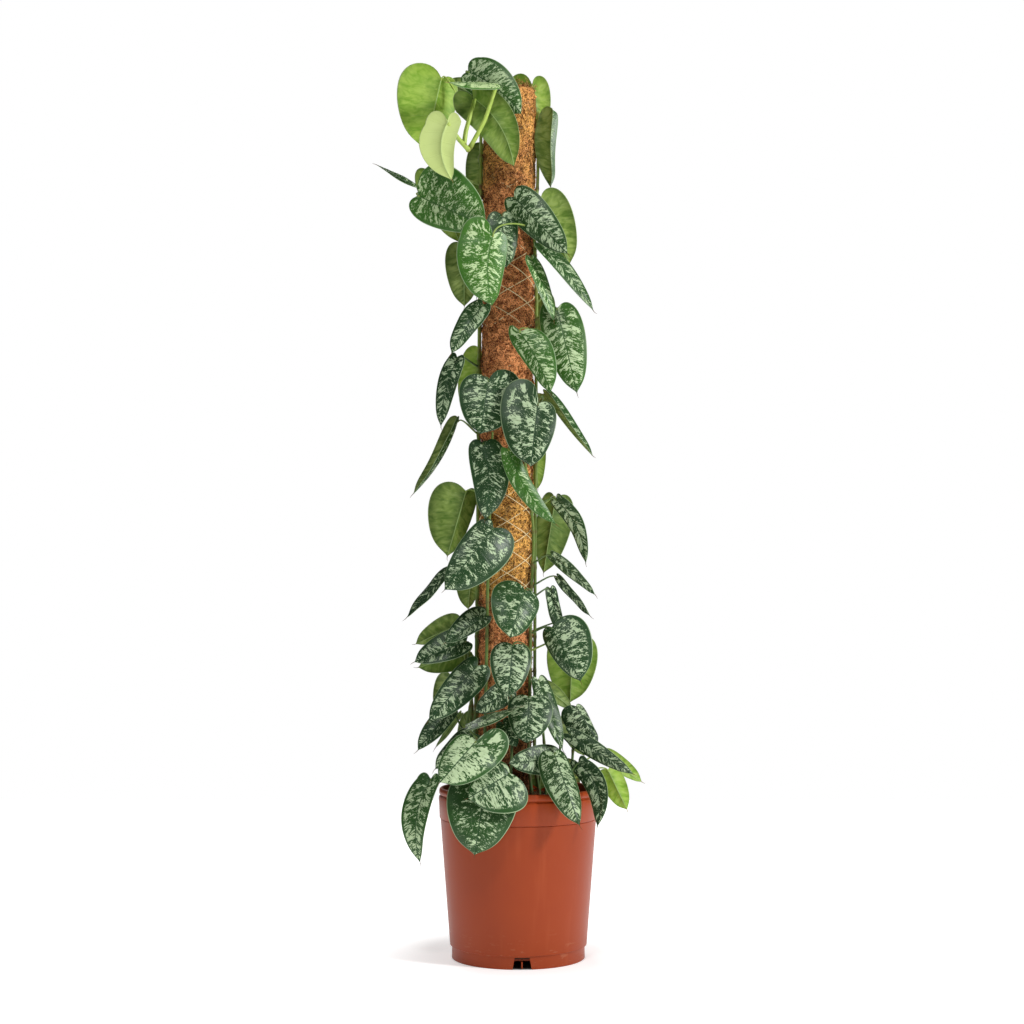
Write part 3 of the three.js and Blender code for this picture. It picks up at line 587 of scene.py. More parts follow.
soil_look = Look("potting_soil", Roughness=0.95, Specular_IOR_Level=0.25)
reach = np.concatenate([np.linspace(HUB, SOIL_EDGE - 1.5, 54), [SOIL_EDGE]])
top_profile = np.stack([reach, soil_level(reach)], axis=-1)
disc = turned(np.concatenate([SOIL_UNDER, top_profile[::-1]]), SOIL_SIDES)
surface = disc[len(SOIL_UNDER):]
lumps = waves(surface, 17, 3) * 0.7 + waves(surface, 6, 4) * 0.45
from_wall = SOIL_EDGE + 1.5 - np.hypot(surface[..., 0], surface[..., 1])
surface[..., 2] += lumps * np.minimum(1, from_wall / 3) - 0.8
soil_piece = Piece("soil_bed", soil_look)
soil_piece.add(disc, tone=(0.1, 0.0, 0.0))
soil_piece.finish("soil", "soil")

# %% Soil crumbs
CRUMBS = 1500
rng = np.random.default_rng(11)
far = (SOIL_EDGE - 2) * np.sqrt(rng.uniform(0.02, 1, CRUMBS))
turn = rng.uniform(0, 2 * np.pi, CRUMBS)
size = rng.uniform(0.7, 2.6, CRUMBS) * np.where(rng.uniform(size=CRUMBS) < 0.12, 1.7, 1)
centre = np.stack([far * np.cos(turn), far * np.sin(turn), soil_level(far) - 0.5], axis=-1)
lean = unit(rng.normal(size=(CRUMBS, 3)) * (1, 1, 0.5))
line = centre[:, None] + lean[:, None] * size[:, None, None] * np.array([-1.2, -0.3, 0.5, 1.2])[:, None]
girth = size[:, None] * np.array([0.35, 0.95, 0.8, 0.3]) * rng.uniform(0.5, 1, (CRUMBS, 1))
rings = bars(line, girth, 5)
rings += rng.normal(size=rings.shape) * 0.16 * size[:, None, None, None]
dryness = rng.uniform(0, 1, CRUMBS)[:, None, None, None] ** 3 * (1.0, 0.0, 0.0)
crumbs = Piece("soil_crumbs", soil_look)
crumbs.add(rings, tone=dryness)
crumbs.finish("soil")

# %% [markdown]
# Wet peat is almost black. Specks of bark and fibre in it are paler, and a crumb that has dried on
# top is paler still.

# %% Soil finish
dry = soil_look.split(soil_look.map("tone"))[0]
speck = soil_look.noise(soil_look.here, 420.0, 4.0, 0.7)
patch = soil_look.noise(soil_look.here, 45.0, 3.0, 0.6)
soil_colour = soil_look.coats(
    soil_look.mix(patch, "1d1610", "33261b"),
    (soil_look.step(speck, 0.56, 0.66) * 0.7, "5b4630"),
    (soil_look.step(dry, 0.25, 0.9), "a07a4c"),
)
soil_look.ends(Base_Color=soil_colour, Normal=soil_look.bump(speck + patch, 0.0012))
print("soil finish:", len(soil_look.tree.nodes), "nodes")

# %% [markdown]
# ## The coir pole
# A plastic tube is wrapped in a mat of coconut fibre, which stays shaggy: no two hand's breadths of it
# look alike. A noise texture alone looks painted on, so the mat is a lumpy turned body, and several
# thousand short curled fibres lie on it. Each is a three-sided tube that bends over the round mat.

# %% Places round the pole
POLE_BASE = 24.0
POLE_TOP = 1460.0
COIR_RADIUS = 43.2
POLE_SIDES = 112


def pole_x(height):
    """How far the pole leans at a height: it stands a little left of the pot's axis."""
    return -23.0 + (height - 262.0) * 9.0 / 1200.0


def on_pole(reach, turn, height):
    """Places at a distance and a turn from the pole's own axis, at a height."""
    return np.stack([reach * np.cos(turn) + pole_x(height), reach * np.sin(turn), height], axis=-1)


def wound(points, way):
    """Places wound about the pole by one radius of arc for each radius of height.

    Along a fibre that climbs the mat at 45 degrees only the third number changes.
    """
    x, y, z = np.moveaxis(points, -1, 0)
    x = x - pole_x(z)
    turn = np.arctan2(y, x) - way * z / COIR_RADIUS
    off = np.hypot(x, y)
    return np.stack([off * np.cos(turn), off * np.sin(turn), z], axis=-1)


# %% Coir body
coir_look = Look("coconut_fibre", Roughness=0.9, Specular_IOR_Level=0.2)
buried = np.linspace(POLE_BASE, SOIL_TOP - 8, 6)
shown = np.linspace(SOIL_TOP - 4, POLE_TOP - 16, 330)
wall = [(COIR_RADIUS, height) for height in (*buried, *shown)]
crown = corner(0, POLE_TOP, (41.4, -10), (38.5, -6), (34, -3.4), (27, -1.6), (18, -1), (8, -0.8), (2, -0.8))
body = turned([(2, POLE_BASE), (20, POLE_BASE), *wall, *crown], POLE_SIDES)
depth = waves(body, 46, 7) * 0.9 + waves(body, 15, 8) + waves(body * (1, 1, 1.6), 7, 9) * 0.8
depth = depth * (body[..., 2] > SOIL_TOP - 6) * np.minimum(1, np.hypot(body[..., 0], body[..., 1]) / 40)
body = body + unit(body * (1, 1, 0)) * (depth - 0.4)[..., None]
body[..., 0] += pole_x(body[..., 2])
coir_body = Piece("coir_mat", coir_look)
coir_body.add(body, tone=(0.0, 0.0, 0.0), left_wind=wound(body, -1), right_wind=wound(body, 1))
coir_body.finish("coir", "pole_coir")

# %% [markdown]
# Two beds of fibre lie on the mat: a close one that hugs it, and a thin scatter of finer strays whose
# ends lift well off it.

# %% Coir fibres
FIBRES = 4600
STRAYS = 420
FIBRE_RINGS = 6
ALONG_FIBRE = np.linspace(0, 1, FIBRE_RINGS)


def fibre_tones(rng, count):
    """For each fibre a tone of its own from 0 to 1, a spare number, and 1, which marks it as a fibre."""
    return np.stack([*rng.uniform(0, 1, (2, count)), np.ones(count)], axis=-1)[:, None, None]


def strewn(count, seed, radius, low, high, length, thick, lift):
    """Curled fibres on the pole.

    Along each fibre, u runs from 0 to 1: the place is a start turn and height, plus u times the length
    in the fibre's own direction, plus a sideways curl of sin(pi u), all laid on a cylinder whose radius
    grows by the lift towards the fibre's ends.
    """
    rng = np.random.default_rng(seed)
    u = ALONG_FIBRE
    run = rng.uniform(0, np.pi, (count, 1))
    long = rng.uniform(*length, (count, 1))
    curl = rng.normal(size=(count, 1)) * 0.22 * long
    ahead, aside = u * long, np.sin(np.pi * u) * curl
    around = rng.uniform(0, 2 * np.pi, (count, 1)) + (ahead * np.cos(run) - aside * np.sin(run)) / radius
    height = rng.uniform(low, high, (count, 1)) + ahead * np.sin(run) + aside * np.cos(run)
    rise = rng.uniform(*lift, (count, 1)) * np.abs(2 * u - 1) ** rng.uniform(1.5, 4, (count, 1))
    out = radius + rng.uniform(-0.5, 0.5, (count, 1)) + rise
    girth = rng.uniform(*thick, (count, 1)) * np.sin(np.pi * (0.12 + 0.76 * u)) ** 0.5
    return bars(on_pole(out, around, height), girth, 3), fibre_tones(rng, count)


fibres = Piece("coir_fibres", coir_look)
for bed in (
    (FIBRES, 21, COIR_RADIUS + 0.2, SOIL_TOP, POLE_TOP - 30, (9, 28), (0.25, 0.7), (0.0, 2.2)),
    (STRAYS, 22, COIR_RADIUS + 0.6, SOIL_TOP + 20, POLE_TOP - 26, (10, 24), (0.14, 0.26), (2.0, 6.5)),
):
    rings, tones = strewn(*bed)
    fibres.add(rings, tone=tones)
fibres.finish("coir")

# %% [markdown]
# The top of the mat is cut and frays. There the fibres stand up like a brush, and lean outwards more
# often than inwards.

# %% Frayed top
FRAYS = 520
rng = np.random.default_rng(23)
turn = rng.uniform(0, 2 * np.pi, (FRAYS, 1))
start = COIR_RADIUS - rng.uniform(0, 24, (FRAYS, 1))
u = ALONG_FIBRE
long = rng.uniform(5, 17, (FRAYS, 1))
spread = rng.uniform(-0.5, 0.75, (FRAYS, 1))
swing = turn + rng.normal(size=(FRAYS, 1)) * 0.22 * u
out = start + spread * long * u ** 1.6
height = POLE_TOP - 7 - (start - 20) * 0.1 + long * np.sin(u * rng.uniform(0.4, 1.5, (FRAYS, 1)))
height = np.minimum(height, POLE_TOP + 7)
lines = np.stack([out * np.cos(swing) + pole_x(POLE_TOP), out * np.sin(swing), height], axis=-1)
tones = fibre_tones(rng, FRAYS)
frays = Piece("coir_frayed_top", coir_look)
frays.add(bars(lines, rng.uniform(0.2, 0.42, (FRAYS, 1)), 3), tone=tones)
frays.finish("coir")

# %% [markdown]
# New coir is golden. Where it has been watered for months it turns red-brown, and so most of this pole
# is red-brown, with a golden stretch at about half height and a golden tinge at the top. Each fibre
# also has a tone of its own. Painted shade darkens the gaps between fibres, and a painted highlight
# lightens the fibres that stand out. The foot of the mat is darker as well: painted shade under the
# low leaves, and the damp that it draws from the soil.

# %% Coir finish
tone, _, is_fibre = coir_look.split(coir_look.map("tone"))
level = coir_look.split(coir_look.here)[2]
blotch = coir_look.noise(coir_look.here, 26.0, 3.0, 0.6)
golden = coir_look.step(level, 0.56, 0.64) * (1 - coir_look.step(level, 0.76, 0.84))
golden = golden + coir_look.step(level, 1.2, 1.34) * 0.6
golden = coir_look.step(golden + (blotch - 0.5) * 0.9, 0.1, 0.9)


def weave(fine, long):
    """The brightest of four streaky noises, wound both ways, round the pole and up it."""
    brightest = 0.0
    for place, scale in (
        (coir_look.map("left_wind"), (fine, fine, long)),
        (coir_look.map("right_wind"), (fine, fine, long)),
        (coir_look.here, (long / MM, long / MM, fine / MM)),
        (coir_look.here, (fine / MM, fine / MM, long / MM)),
    ):
        streak = coir_look.noise(place, scale, 3.0, 0.6, 0.4)
        brightest = coir_look.sign("MAXIMUM", brightest, streak)
    return brightest


def red_or_gold(part, red, gold):
    """Mixes a pair of reds and a pair of golds by part, and takes the gold where the mat is golden."""
    return coir_look.mix(golden, coir_look.mix(part, *red), coir_look.mix(part, *gold))


tuft = weave(0.46, 0.17)
hair = coir_look.step(weave(0.62, 0.085), 0.4, 0.66)
ground = red_or_gold(hair, ("7c3812", "ffac6e"), ("8c4c14", "ffc264"))
fibre = red_or_gold(tone, ("a44c1c", "ffb470"), ("a8641f", "ffd488"))
fibre = coir_look.mix(coir_look.step(blotch, 0.35, 0.65) * 0.25, fibre, "9c5f3a")
gaps = 1 - coir_look.step(tuft + (blotch - 0.5) * 0.1, 0.52, 0.57)
damp_and_shade = 1 - coir_look.step(level, 0.29, 0.43)
coir_colour = coir_look.coats(
    coir_look.mix(is_fibre, ground, fibre),
    # painted shade in the gaps between fibres
    (gaps * 0.9, "341204"),
    # painted highlight on the fibres that stand out
    (coir_look.step(tuft, 0.63, 0.72) * 0.75, "ffc890"),
    # darker foot: painted shade under the low leaves, and the damp drawn from the soil
    (damp_and_shade * 0.7, "2a1609"),
)
coir_look.ends(Base_Color=coir_colour, Normal=coir_look.bump(hair, 0.0005))
print("coir finish:", len(coir_look.tree.nodes), "nodes")

# %% [markdown]
# Thin straw-coloured thread holds the mat on the tube. It is wound up the pole in one direction and
# down in the other, so it crosses itself in diamonds. Over most of the pole it has sunk into the mat.
# It lies bare in two stretches, where the mat is packed hardest.

# %% Binding thread
THREAD_RADIUS = 0.7
THREAD_PITCH = 172.0
THREAD_STARTS = 4
THREAD_STEPS = 620
THREAD_SUNK = 3.2
THREAD_LIFT = 5.2
THREAD_REACH = 46.0
BARE_STRETCHES = ((690, 92), (1112, 66))
thread_look = Look("straw_thread", Roughness=0.6, Specular_IOR_Level=0.4)
rise = np.linspace(SOIL_TOP - 6, POLE_TOP - 12, THREAD_STEPS)
bare = sum(np.exp(-((rise - middle) / half) ** 4) for middle, half in BARE_STRETCHES)
lines = []
for way in (1, -1):
    for i in range(THREAD_STARTS):
        turn = way * rise * 2 * np.pi / THREAD_PITCH + i * 2 * np.pi / THREAD_STARTS + 0.4 * way
        wander = 0.05 * np.sin(rise / 31 + i + way)
        out = COIR_RADIUS - THREAD_SUNK + THREAD_LIFT * bare
        out = out + 0.9 * np.sin(rise / 17 + 2.3 * i + way) + 0.5 * np.sin(rise / 7 + i)
        lines.append(on_pole(np.minimum(out, THREAD_REACH), turn + wander, rise))
threads = Piece("coir_thread", thread_look)
threads.add(bars(np.array(lines), THREAD_RADIUS, 5))
threads.finish("coir")
straw = thread_look.mix(thread_look.noise(thread_look.here, 160.0, 3.0), "e0c284", "fff2c8")
thread_look.ends(Base_Color=straw)

# %% [markdown]
# Nothing shows of the tube inside the mat, so the plain model's tube stays, in grey recycled plastic
# with a faint run of the extruder along it.

# %% Core finish
core_look = Look("grey_tube_plastic", Roughness=0.5)
streak = core_look.noise(core_look.here, (300.0, 300.0, 6.0), 3.0)
core_look.ends(Base_Color=core_look.mix(streak, "3e3e3c", "555552"))
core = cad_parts["pole_core"]
for i in range(len(core.data.materials)):
    core.data.materials[i] = core_look.material
print("core keeps", len(core.data.materials), "slot")

# %% [markdown]
# ## Stems and leaves: where they grow
# The climbers are given by their turn about the pole at a few heights, the short stems by points, and
# each leaf by its base, its tip and how far its two edges stand off the midrib. Leaf places were read
# from the front, from `EYE`, as if on the upright plane of the pole, with a third number for how far
# the point stands before that plane. `seen` carries such a reading out along the line of sight.

# %% Growing points
EYE = np.array([-10.0, -3000.0, 580.0])
VINE_RADIUS = 3.1
VINE_RING = 48.8
SHOOT_RADIUS = 2.6
VINE_FOOT = [(222, 62), (272, 60), (318, VINE_RING + 1.5)]
STEM_STEP = 5.0
VINES = {
    "vine_crown": [(158, 262), (160, 620), (168, 1000), (172, 1300), (178, 1400), (196, 1452)],
    "vine_left": [(190, 262), (188, 640), (181, 960), (184, 1200), (190, 1390)],
    "vine_right": [(-12, 262), (-10, 700), (-12, 1090), (-24, 1165), (-30, 1210), (-8, 1300), (0, 1418)],
    "vine_front_left": [(228, 262), (230, 480), (232, 640), (236, 770), (240, 868)],
    "vine_front_right": [(-40, 262), (-34, 440), (-32, 600), (-20, 690), (-38, 770), (-62, 850)],
    "vine_back_left": [(112, 262), (116, 700), (108, 1100), (122, 1446)],
    "vine_back_right": [(60, 262), (52, 600), (66, 1000), (56, 1418)],
}
SHOOTS = {
    "shoot_left": [(-84, 12, 222), (-84, 12, 290), (-78, 6, 400), (-76, 2, 476)],
    "shoot_left_low": [(-90, -34, 222), (-91, -36, 300), (-86, -34, 380), (-76, -32, 440)],
    "shoot_front_left": [(-62, -78, 222), (-64, -84, 300), (-68, -82, 368)],
    "shoot_front": [(-14, -70, 222), (-12, -68, 320), (-8, -62, 414)],
    "shoot_front_right": [(46, -44, 222), (44, -40, 340), (34, -30, 440)],
    "shoot_right": [(86, -12, 222), (88, -14, 300), (94, -22, 402)],
    "shoot_right_low": [(74, -62, 222), (77, -68, 290), (84, -72, 322)],
    "shoot_over_rim": [(-34, -97, 222), (-35, -102, 276), (-36, -107, 296)],
    "shoot_back_left": [(-68, 74, 222), (-72, 76, 320), (-80, 70, 442)],
    "shoot_back": [(-6, 82, 222), (-4, 86, 320), (-2, 86, 412)],
    "shoot_back_right": [(64, 56, 222), (68, 62, 300), (76, 64, 392)],
}
TWIGS = {
    "vine_left": [
        [(-63, 1384, 8), (-67, 1383, 56), (-84, 1352, 104), (-56, 1404, 116), (-37, 1464, 122)],
        [(-84, 1352, 104), (-102, 1372, 132), (-120, 1398, 146)],
        [(-92, 1361, 117), (-89, 1384, 114), (-74, 1439, 97)],
    ],
}


# %% Lines of the stems
def seen(reading):
    """A reading [x, z, nearer] carried along the line of sight to its own distance.

    A point that is nearer by a share of the eye's distance moves in towards the eye's own x and z by
    that share.
    """
    x, z, nearer = reading
    share = 1 + nearer / EYE[1]
    return np.array([EYE[0] + (x - EYE[0]) * share, -nearer, EYE[2] + (z - EYE[2]) * share])


def between(where, stops, points):
    """Points of a line whose given points lie at the stops, each coordinate interpolated straight."""
    return np.stack([np.interp(where, stops, column) for column in points.T], axis=-1)


def by_height(points):
    """A line through points that rise steadily, cut every few millimetres of height and smoothed."""
    points = np.asarray(points, float)
    low, high = points[0, 2], points[-1, 2]
    height = np.linspace(low, high, max(8, int((high - low) / STEM_STEP)))
    return smooth(between(height, points[:, 2], points), 24)


def climbing(turns):
    """The line of a stem that stands a little off the pole at the soil and then lies against it."""
    way = [(turns[0][0], height, off) for height, off in VINE_FOOT]
    way += [(turn, height, VINE_RING) for turn, height in turns[1:]]
    turn, height, off = np.array(way, float).T
    fine = np.linspace(height[0], height[-1], 320)
    reach = np.interp(fine, height, off)
    return by_height(on_pole(reach, np.radians(np.interp(fine, height, turn)), fine))


STEMS = {name: climbing(turns) for name, turns in VINES.items()}
STEMS.update({name: by_height(points) for name, points in SHOOTS.items()})
print(len(STEMS), "stems")

# %% [markdown]
# Each leaf is one row: the height where its stalk leaves the stem (0 at the end of a twig), base, tip,
# the right and the left edge as (across, nearer), how far the midrib bends sideways, how much the blade
# arches, the two lobes, then how young it is, how much silver it carries, and 1 where its upper face
# looks at the camera or -1 where the underside does.

# %% Leaf table
LEAVES = {
    "vine_crown": [
        [1448, (-84, 1486, 82), (6, 1413, 114), (38, -4), (32, -12), 8, 0.05, 0.5, 0.4, 0.3, 0.58, 1],
        [1436, (-62, 1442, 26), (-122, 1470, 22), (20, -4), (24, -2), 0, 0.03, 0.5, 0.5, 0.1, 0.2, -1],
        [1330, (-52, 1352, -54), (-70, 1262, -60), (28, -6), (34, -6), 0, 0.05, 0.6, 0.6, 0.4, 0.4, -1],
        [990, (-62, 1006, -52), (-88, 906, -56), (30, -6), (32, -6), 0, 0.05, 0.5, 0.5, 0.7, 0.3, -1],
        [622, (-78, 638, -32), (-84, 574, -38), (16, -4), (26, -4), 0, 0.05, 0.5, 0.5, 0.3, 0.4, -1],
    ],
    "vine_left": [
        [0, (-36, 1465, 122), (-119, 1468, 134), (10, 22), (1, -24), 0, 0, 0.4, 0.4, 1, 0.95, 1],
        [0, (-120, 1399, 146), (-112, 1300, 152), (25, -1), (39, -2), -14, 0.05, 0.8, 1, 1.3, 0, -1],
        [1382, (-131, 1473, 60), (-158, 1352, 62), (36, -24), (71, -4), 0, 0.06, 0.5, 0.8, 1, 0, -1],
        [0, (-75, 1440, 96), (-7, 1323, 108), (34, 4), (40, -4), 14, 0.06, 0.8, 0.9, 0.45, 0.3, -1],
        [1268, (-168, 1273, 60), (-53, 1220, 88), (69, 4), (39, -6), 0, 0.06, 0.5, 0.5, 0.5, 0.5, 1],
        [1272, (-172, 1289, 6), (-239, 1326, 0), (4, 20), (4, -20), 0, 0, 0.3, 0.3, 0.2, 0.3, 1],
        [1290, (-148, 1312, -12), (-98, 1192, -2), (34, -6), (34, 6), 0, 0.05, 0.6, 0.6, 0.5, 0.3, -1],
        [1176, (-92, 1186, 2), (-91, 1084, -2), (30, -6), (33, -2), 0, 0.05, 0.5, 0.5, 0.15, 0.4, -1],
        [1070, (-60, 1086, 50), (-113, 1004, 66), (18, 6), (21, -14), -3, 0.06, 0.5, 0.5, 0.05, 0.5, 1],
        [982, (-103, 996, 44), (-130, 881, 56), (17, 10), (18, -16), -6, 0.07, 0.4, 0.5, 0, 0.5, 1],
        [940, (-50, 958, 78), (-64, 868, 98), (58, -10), (47, -8), 0, 0.07, 1.2, 0.6, 0, 0.52, 1],
        [868, (-101, 891, 20), (-177, 767, 30), (-8, 22), (21, -20), 10, 0, 0.3, 0.3, 0.2, 0.4, -1],
    ],
    "vine_right": [
        [740, (62, 758, -46), (42, 634, -48), (37, -10), (27, -6), 0, 0.05, 0.5, 0.5, 0.3, 0.3, -1],
        [1404, (37, 1414, 12), (56, 1287, 22), (30, 16), (-38, -16), -17, 0.03, 0.4, 0.4, 0.3, 0.5, -1],
        [1200, (-43, 1205, 118), (-44, 1085, 112), (30, -12), (56, -4), -8, 0.06, 0.4, 1.2, 0.6, 0.5, 1],
        [1222, (-28, 1240, 60), (-20, 1150, 66), (26, -6), (28, 0), 0, 0.05, 0.5, 0.5, 0.05, 0.46, 1],
        [916, (33, 918, 104), (21, 813, 124), (34, -6), (63, -4), 0, 0.07, 0.45, 1.6, 0, 0.5, 1],
        [920, (44, 936, 30), (126, 831, 45), (9, 24), (-18, -20), -4, 0, 0.3, 0.3, 0.2, 0.4, -1],
        [1030, (3, 1041, 78), (55, 938, 100), (35, -4), (22, -12), 4, 0.06, 0.1, 0.8, 0.45, 0.5, 1],
        [1062, (66, 1080, 42), (99, 937, 58), (38, -10), (36, -6), 0, 0.06, 0.4, 0.6, 0.35, 0.55, 1],
        [1150, (22, 1166, 62), (60, 1060, 72), (12, -14), (12, 14), 3, 0.04, 0.4, 0.4, 0.5, 0.45, 1],
        [1090, (44, 1100, -22), (44, 1012, -26), (20, -4), (20, -4), 0, 0.05, 0.5, 0.5, 0.3, 0.3, -1],
        [1252, (-6, 1270, 64), (84, 1174, 92), (34, -4), (29, -14), 0, 0.06, 0.5, 0.5, 0.1, 0.56, 1],
        [1258, (38, 1266, 50), (87, 1155, 40), (43, -8), (30, 2), 0, 0.05, 0.6, 0.5, 0.4, 0.3, -1],
        [1176, (38, 1190, 68), (127, 1077, 74), (14, -16), (12, 14), 5, 0.03, 0.4, 0.4, 0.2, 0.5, 1],
        [846, (28, 860, -56), (33, 776, -58), (18, -4), (20, -4), 0, 0.05, 0.5, 0.5, 0.6, 0.3, -1],
    ],
    "vine_front_left": [
        [846, (-59, 852, 80), (-56, 724, 78), (37, -8), (30, -8), 8, 0.06, 0.4, 0.4, 0, 0.36, 1],
        [756, (-88, 771, 14), (-119, 662, 16), (24, -24), (57, -6), 0, 0.06, 0.5, 0.5, 0.35, 0.2, -1],
        [694, (-43, 709, 80), (-124, 606, 114), (54, -8), (31, -10), 0, 0.07, 0.6, 0.5, 0, 0.43, 1],
        [626, (-116, 640, 50), (-187, 560, 48), (8, 10), (11, -12), 0, 0.03, 0.3, 0.3, 0, 0.3, 1],
        [546, (-56, 563, 60), (-122, 518, 80), (15, 10), (25, -14), 0, 0.06, 0.5, 0.6, 0, 0.55, 1],
    ],
    "vine_front_right": [
        [836, (-16, 842, 98), (64, 716, 96), (15, -8), (19, -4), -10, 0.05, 0.3, 0.4, 0.5, 0.3, 1],
        [586, (11, 605, 84), (-14, 526, 126), (31, -14), (52, -6), 0, 0.07, 0.4, 0.7, 0.05, 0.45, 1],
        [496, (-9, 514, 92), (-17, 428, 126), (33, -6), (36, -8), 0, 0.07, 0.35, 0.4, 0, 0.64, 1],
        [506, (92, 520, -8), (86, 418, -4), (44, -6), (45, -6), 0, 0.06, 0.6, 0.6, 0.6, 0.3, -1],
        [534, (56, 543, 38), (104, 454, 64), (56, -8), (24, -14), 0, 0.06, 0.5, 0.4, 0, 0.5, 1],
        [592, (54, 608, 6), (72, 526, 2), (11, -12), (12, 12), 0, 0.04, 0.4, 0.4, 0, 0.4, 1],
        [650, (56, 664, 44), (129, 598, 56), (11, 12), (10, -12), 2, 0.05, 0.4, 0.4, 0.05, 0.6, 1],
        [612, (66, 628, 16), (121, 562, 18), (7, 8), (8, -8), 0, 0.04, 0.4, 0.4, 0, 0.4, 1],
        [742, (64, 758, 28), (113, 650, 42), (15, 10), (14, -12), 12, 0.05, 0.4, 0.4, 0.1, 0.62, 1],
    ],
    "vine_back_left": [
        [1442, (-48, 1462, -62), (-30, 1350, -84), (34, 8), (36, 8), 0, -0.06, 0.5, 0.6, 0.6, 0.3, -1],
        [1262, (-132, 1280, -54), (-84, 1224, -88), (34, 6), (30, 6), 0, -0.06, 0.5, 0.5, 0.35, 0.4, -1],
        [1170, (-80, 1188, -52), (-70, 1100, -84), (34, 6), (32, 6), 0, -0.06, 0.5, 0.5, 0.2, 0.5, -1],
        [1066, (-20, 1084, -72), (-18, 984, -96), (30, 8), (32, 8), 0, -0.06, 0.5, 0.6, 0.3, 0.4, -1],
        [930, (-46, 948, -76), (-48, 868, -102), (32, 6), (36, 6), 0, -0.06, 0.6, 0.5, 0.1, 0.5, -1],
        [826, (-44, 846, -62), (-50, 744, -88), (30, 6), (28, 6), 0, -0.06, 0.5, 0.5, 0.05, 0.6, -1],
        [680, (-50, 700, -60), (-90, 630, -88), (30, 6), (30, 6), 0, -0.06, 0.5, 0.5, 0.1, 0.5, -1],
        [484, (-20, 500, -68), (-26, 428, -92), (28, 6), (28, 6), 0, -0.06, 0.5, 0.5, 0, 0.6, -1],
    ],
    "vine_back_right": [
        [1416, (24, 1461, -66), (38, 1388, -72), (30, -6), (44, -8), 0, 0.05, 1, 1.5, 0.6, 0.3, -1],
        [1380, (-2, 1420, -78), (-4, 1330, -100), (24, 6), (26, 6), 0, -0.06, 0.5, 0.5, 0.5, 0.4, -1],
        [1244, (42, 1260, -46), (72, 1190, -72), (24, 6), (26, 6), 0, -0.06, 0.5, 0.5, 0.4, 0.45, -1],
        [1186, (-10, 1204, -70), (-8, 1104, -94), (30, 8), (32, 8), 0, -0.06, 0.5, 0.5, 0.15, 0.5, -1],
        [1050, (72, 1066, -34), (90, 965, -58), (22, 6), (22, 6), 0, -0.06, 0.5, 0.5, 0.3, 0.4, -1],
        [914, (22, 930, -64), (20, 834, -92), (34, 8), (34, 8), 0, -0.06, 0.5, 0.6, 0.1, 0.6, -1],
        [794, (0, 812, -68), (2, 720, -92), (22, 6), (30, 6), 0, -0.06, 0.5, 0.5, 0.2, 0.45, -1],
        [592, (-8, 610, -70), (-18, 524, -92), (28, 6), (30, 6), 0, -0.06, 0.5, 0.5, 0.05, 0.55, -1],
        [530, (88, 546, -40), (92, 452, -62), (28, 6), (28, 6), 0, -0.06, 0.5, 0.5, 0, 0.6, -1],
    ],
    "shoot_left": [
        [466, (-98, 550, 4), (-172, 516, -6), (16, -10), (25, -4), 0, 0.04, 0.4, 0.4, 0.3, 0.4, -1],
        [446, (-88, 520, 26), (-174, 486, 42), (20, 12), (30, -12), 0, 0.05, 0.5, 0.5, 0, 0.4, 1],
        [430, (-82, 503, -8), (-168, 477, -6), (25, 10), (20, -10), 0, 0.05, 0.4, 0.5, 0.4, 0.4, -1],
        [376, (-96, 400, -6), (-138, 344, -6), (5, 16), (6, -16), 0, 0, 0.4, 0.4, 0.3, 0.4, -1],
    ],
    "shoot_left_low": [
        [430, (-70, 478, 50), (-150, 388, 86), (32, 4), (26, -12), 0, 0.07, 0.6, 0.6, 0, 0.56, 1],
        [370, (-112, 404, 28), (-168, 339, 50), (14, 10), (22, -10), 0, 0.06, 0.5, 0.5, 0, 0.45, 1],
        [346, (-74, 366, 56), (-139, 308, 88), (18, 6), (22, -14), 0, 0.05, 0.4, 0.4, 0, 0.45, 1],
        [276, (-146, 290, 60), (-163, 154, 82), (19, 16), (28, -14), -15, 0.06, 0.5, 0.5, 0.2, 0.6, 1],
    ],
    "shoot_front_left": [
        [366, (-84, 380, 88), (4, 412, 104), (6, -22), (10, 20), 0, 0.02, 0.4, 0.4, 0.1, 0.6, 1],
        [330, (-72, 353, 150), (-131, 286, 180), (52, 2), (31, -12), 0, 0.07, 2, 0.3, 0.2, 0.86, 1],
    ],
    "shoot_front": [
        [406, (-14, 440, 62), (-72, 402, 72), (20, 0), (22, -4), 0, 0.05, 0.5, 0.5, 0, 0.5, 1],
        [396, (18, 428, 76), (13, 351, 106), (42, -8), (35, -12), 0, 0.07, 0.4, 0.4, 0, 0.58, 1],
        [366, (-26, 386, 66), (-2, 345, 84), (16, 0), (16, 0), 0, 0.05, 0.5, 0.5, 0, 0.4, 1],
    ],
    "shoot_front_right": [
        [442, (34, 456, 44), (74, 340, 80), (17, -10), (15, 8), 0, 0.04, 0.4, 0.4, 0.1, 0.4, 1],
        [424, (42, 448, 24), (90, 408, 20), (14, -6), (13, 6), 0, 0.05, 0.4, 0.4, 0.3, 0.4, -1],
        [316, (64, 326, 70), (-17, 318, 108), (26, 6), (26, -6), 0, 0.05, 0.5, 0.5, 0, 0.65, 1],
    ],
    "shoot_right": [
        [396, (97, 412, 36), (133, 354, 52), (10, -22), (34, -4), 0, 0.07, 0.4, 0.7, 0, 0.55, 1],
        [340, (86, 366, 58), (192, 300, 74), (15, 8), (16, -10), 0, 0.06, 0.5, 0.5, 0, 0.6, 1],
        [292, (150, 306, 14), (181, 241, 20), (20, -6), (22, -6), 0, 0.05, 0.5, 0.5, 0.8, 0.3, -1],
        [310, (142, 330, -14), (206, 287, -20), (19, -6), (11, 6), 0, 0.04, 0.5, 0.5, 0.7, 0.3, -1],
    ],
    "shoot_right_low": [
        [304, (100, 318, 70), (131, 212, 114), (19, 10), (19, -10), 18, 0.05, 0.5, 0.5, 0, 0.5, 1],
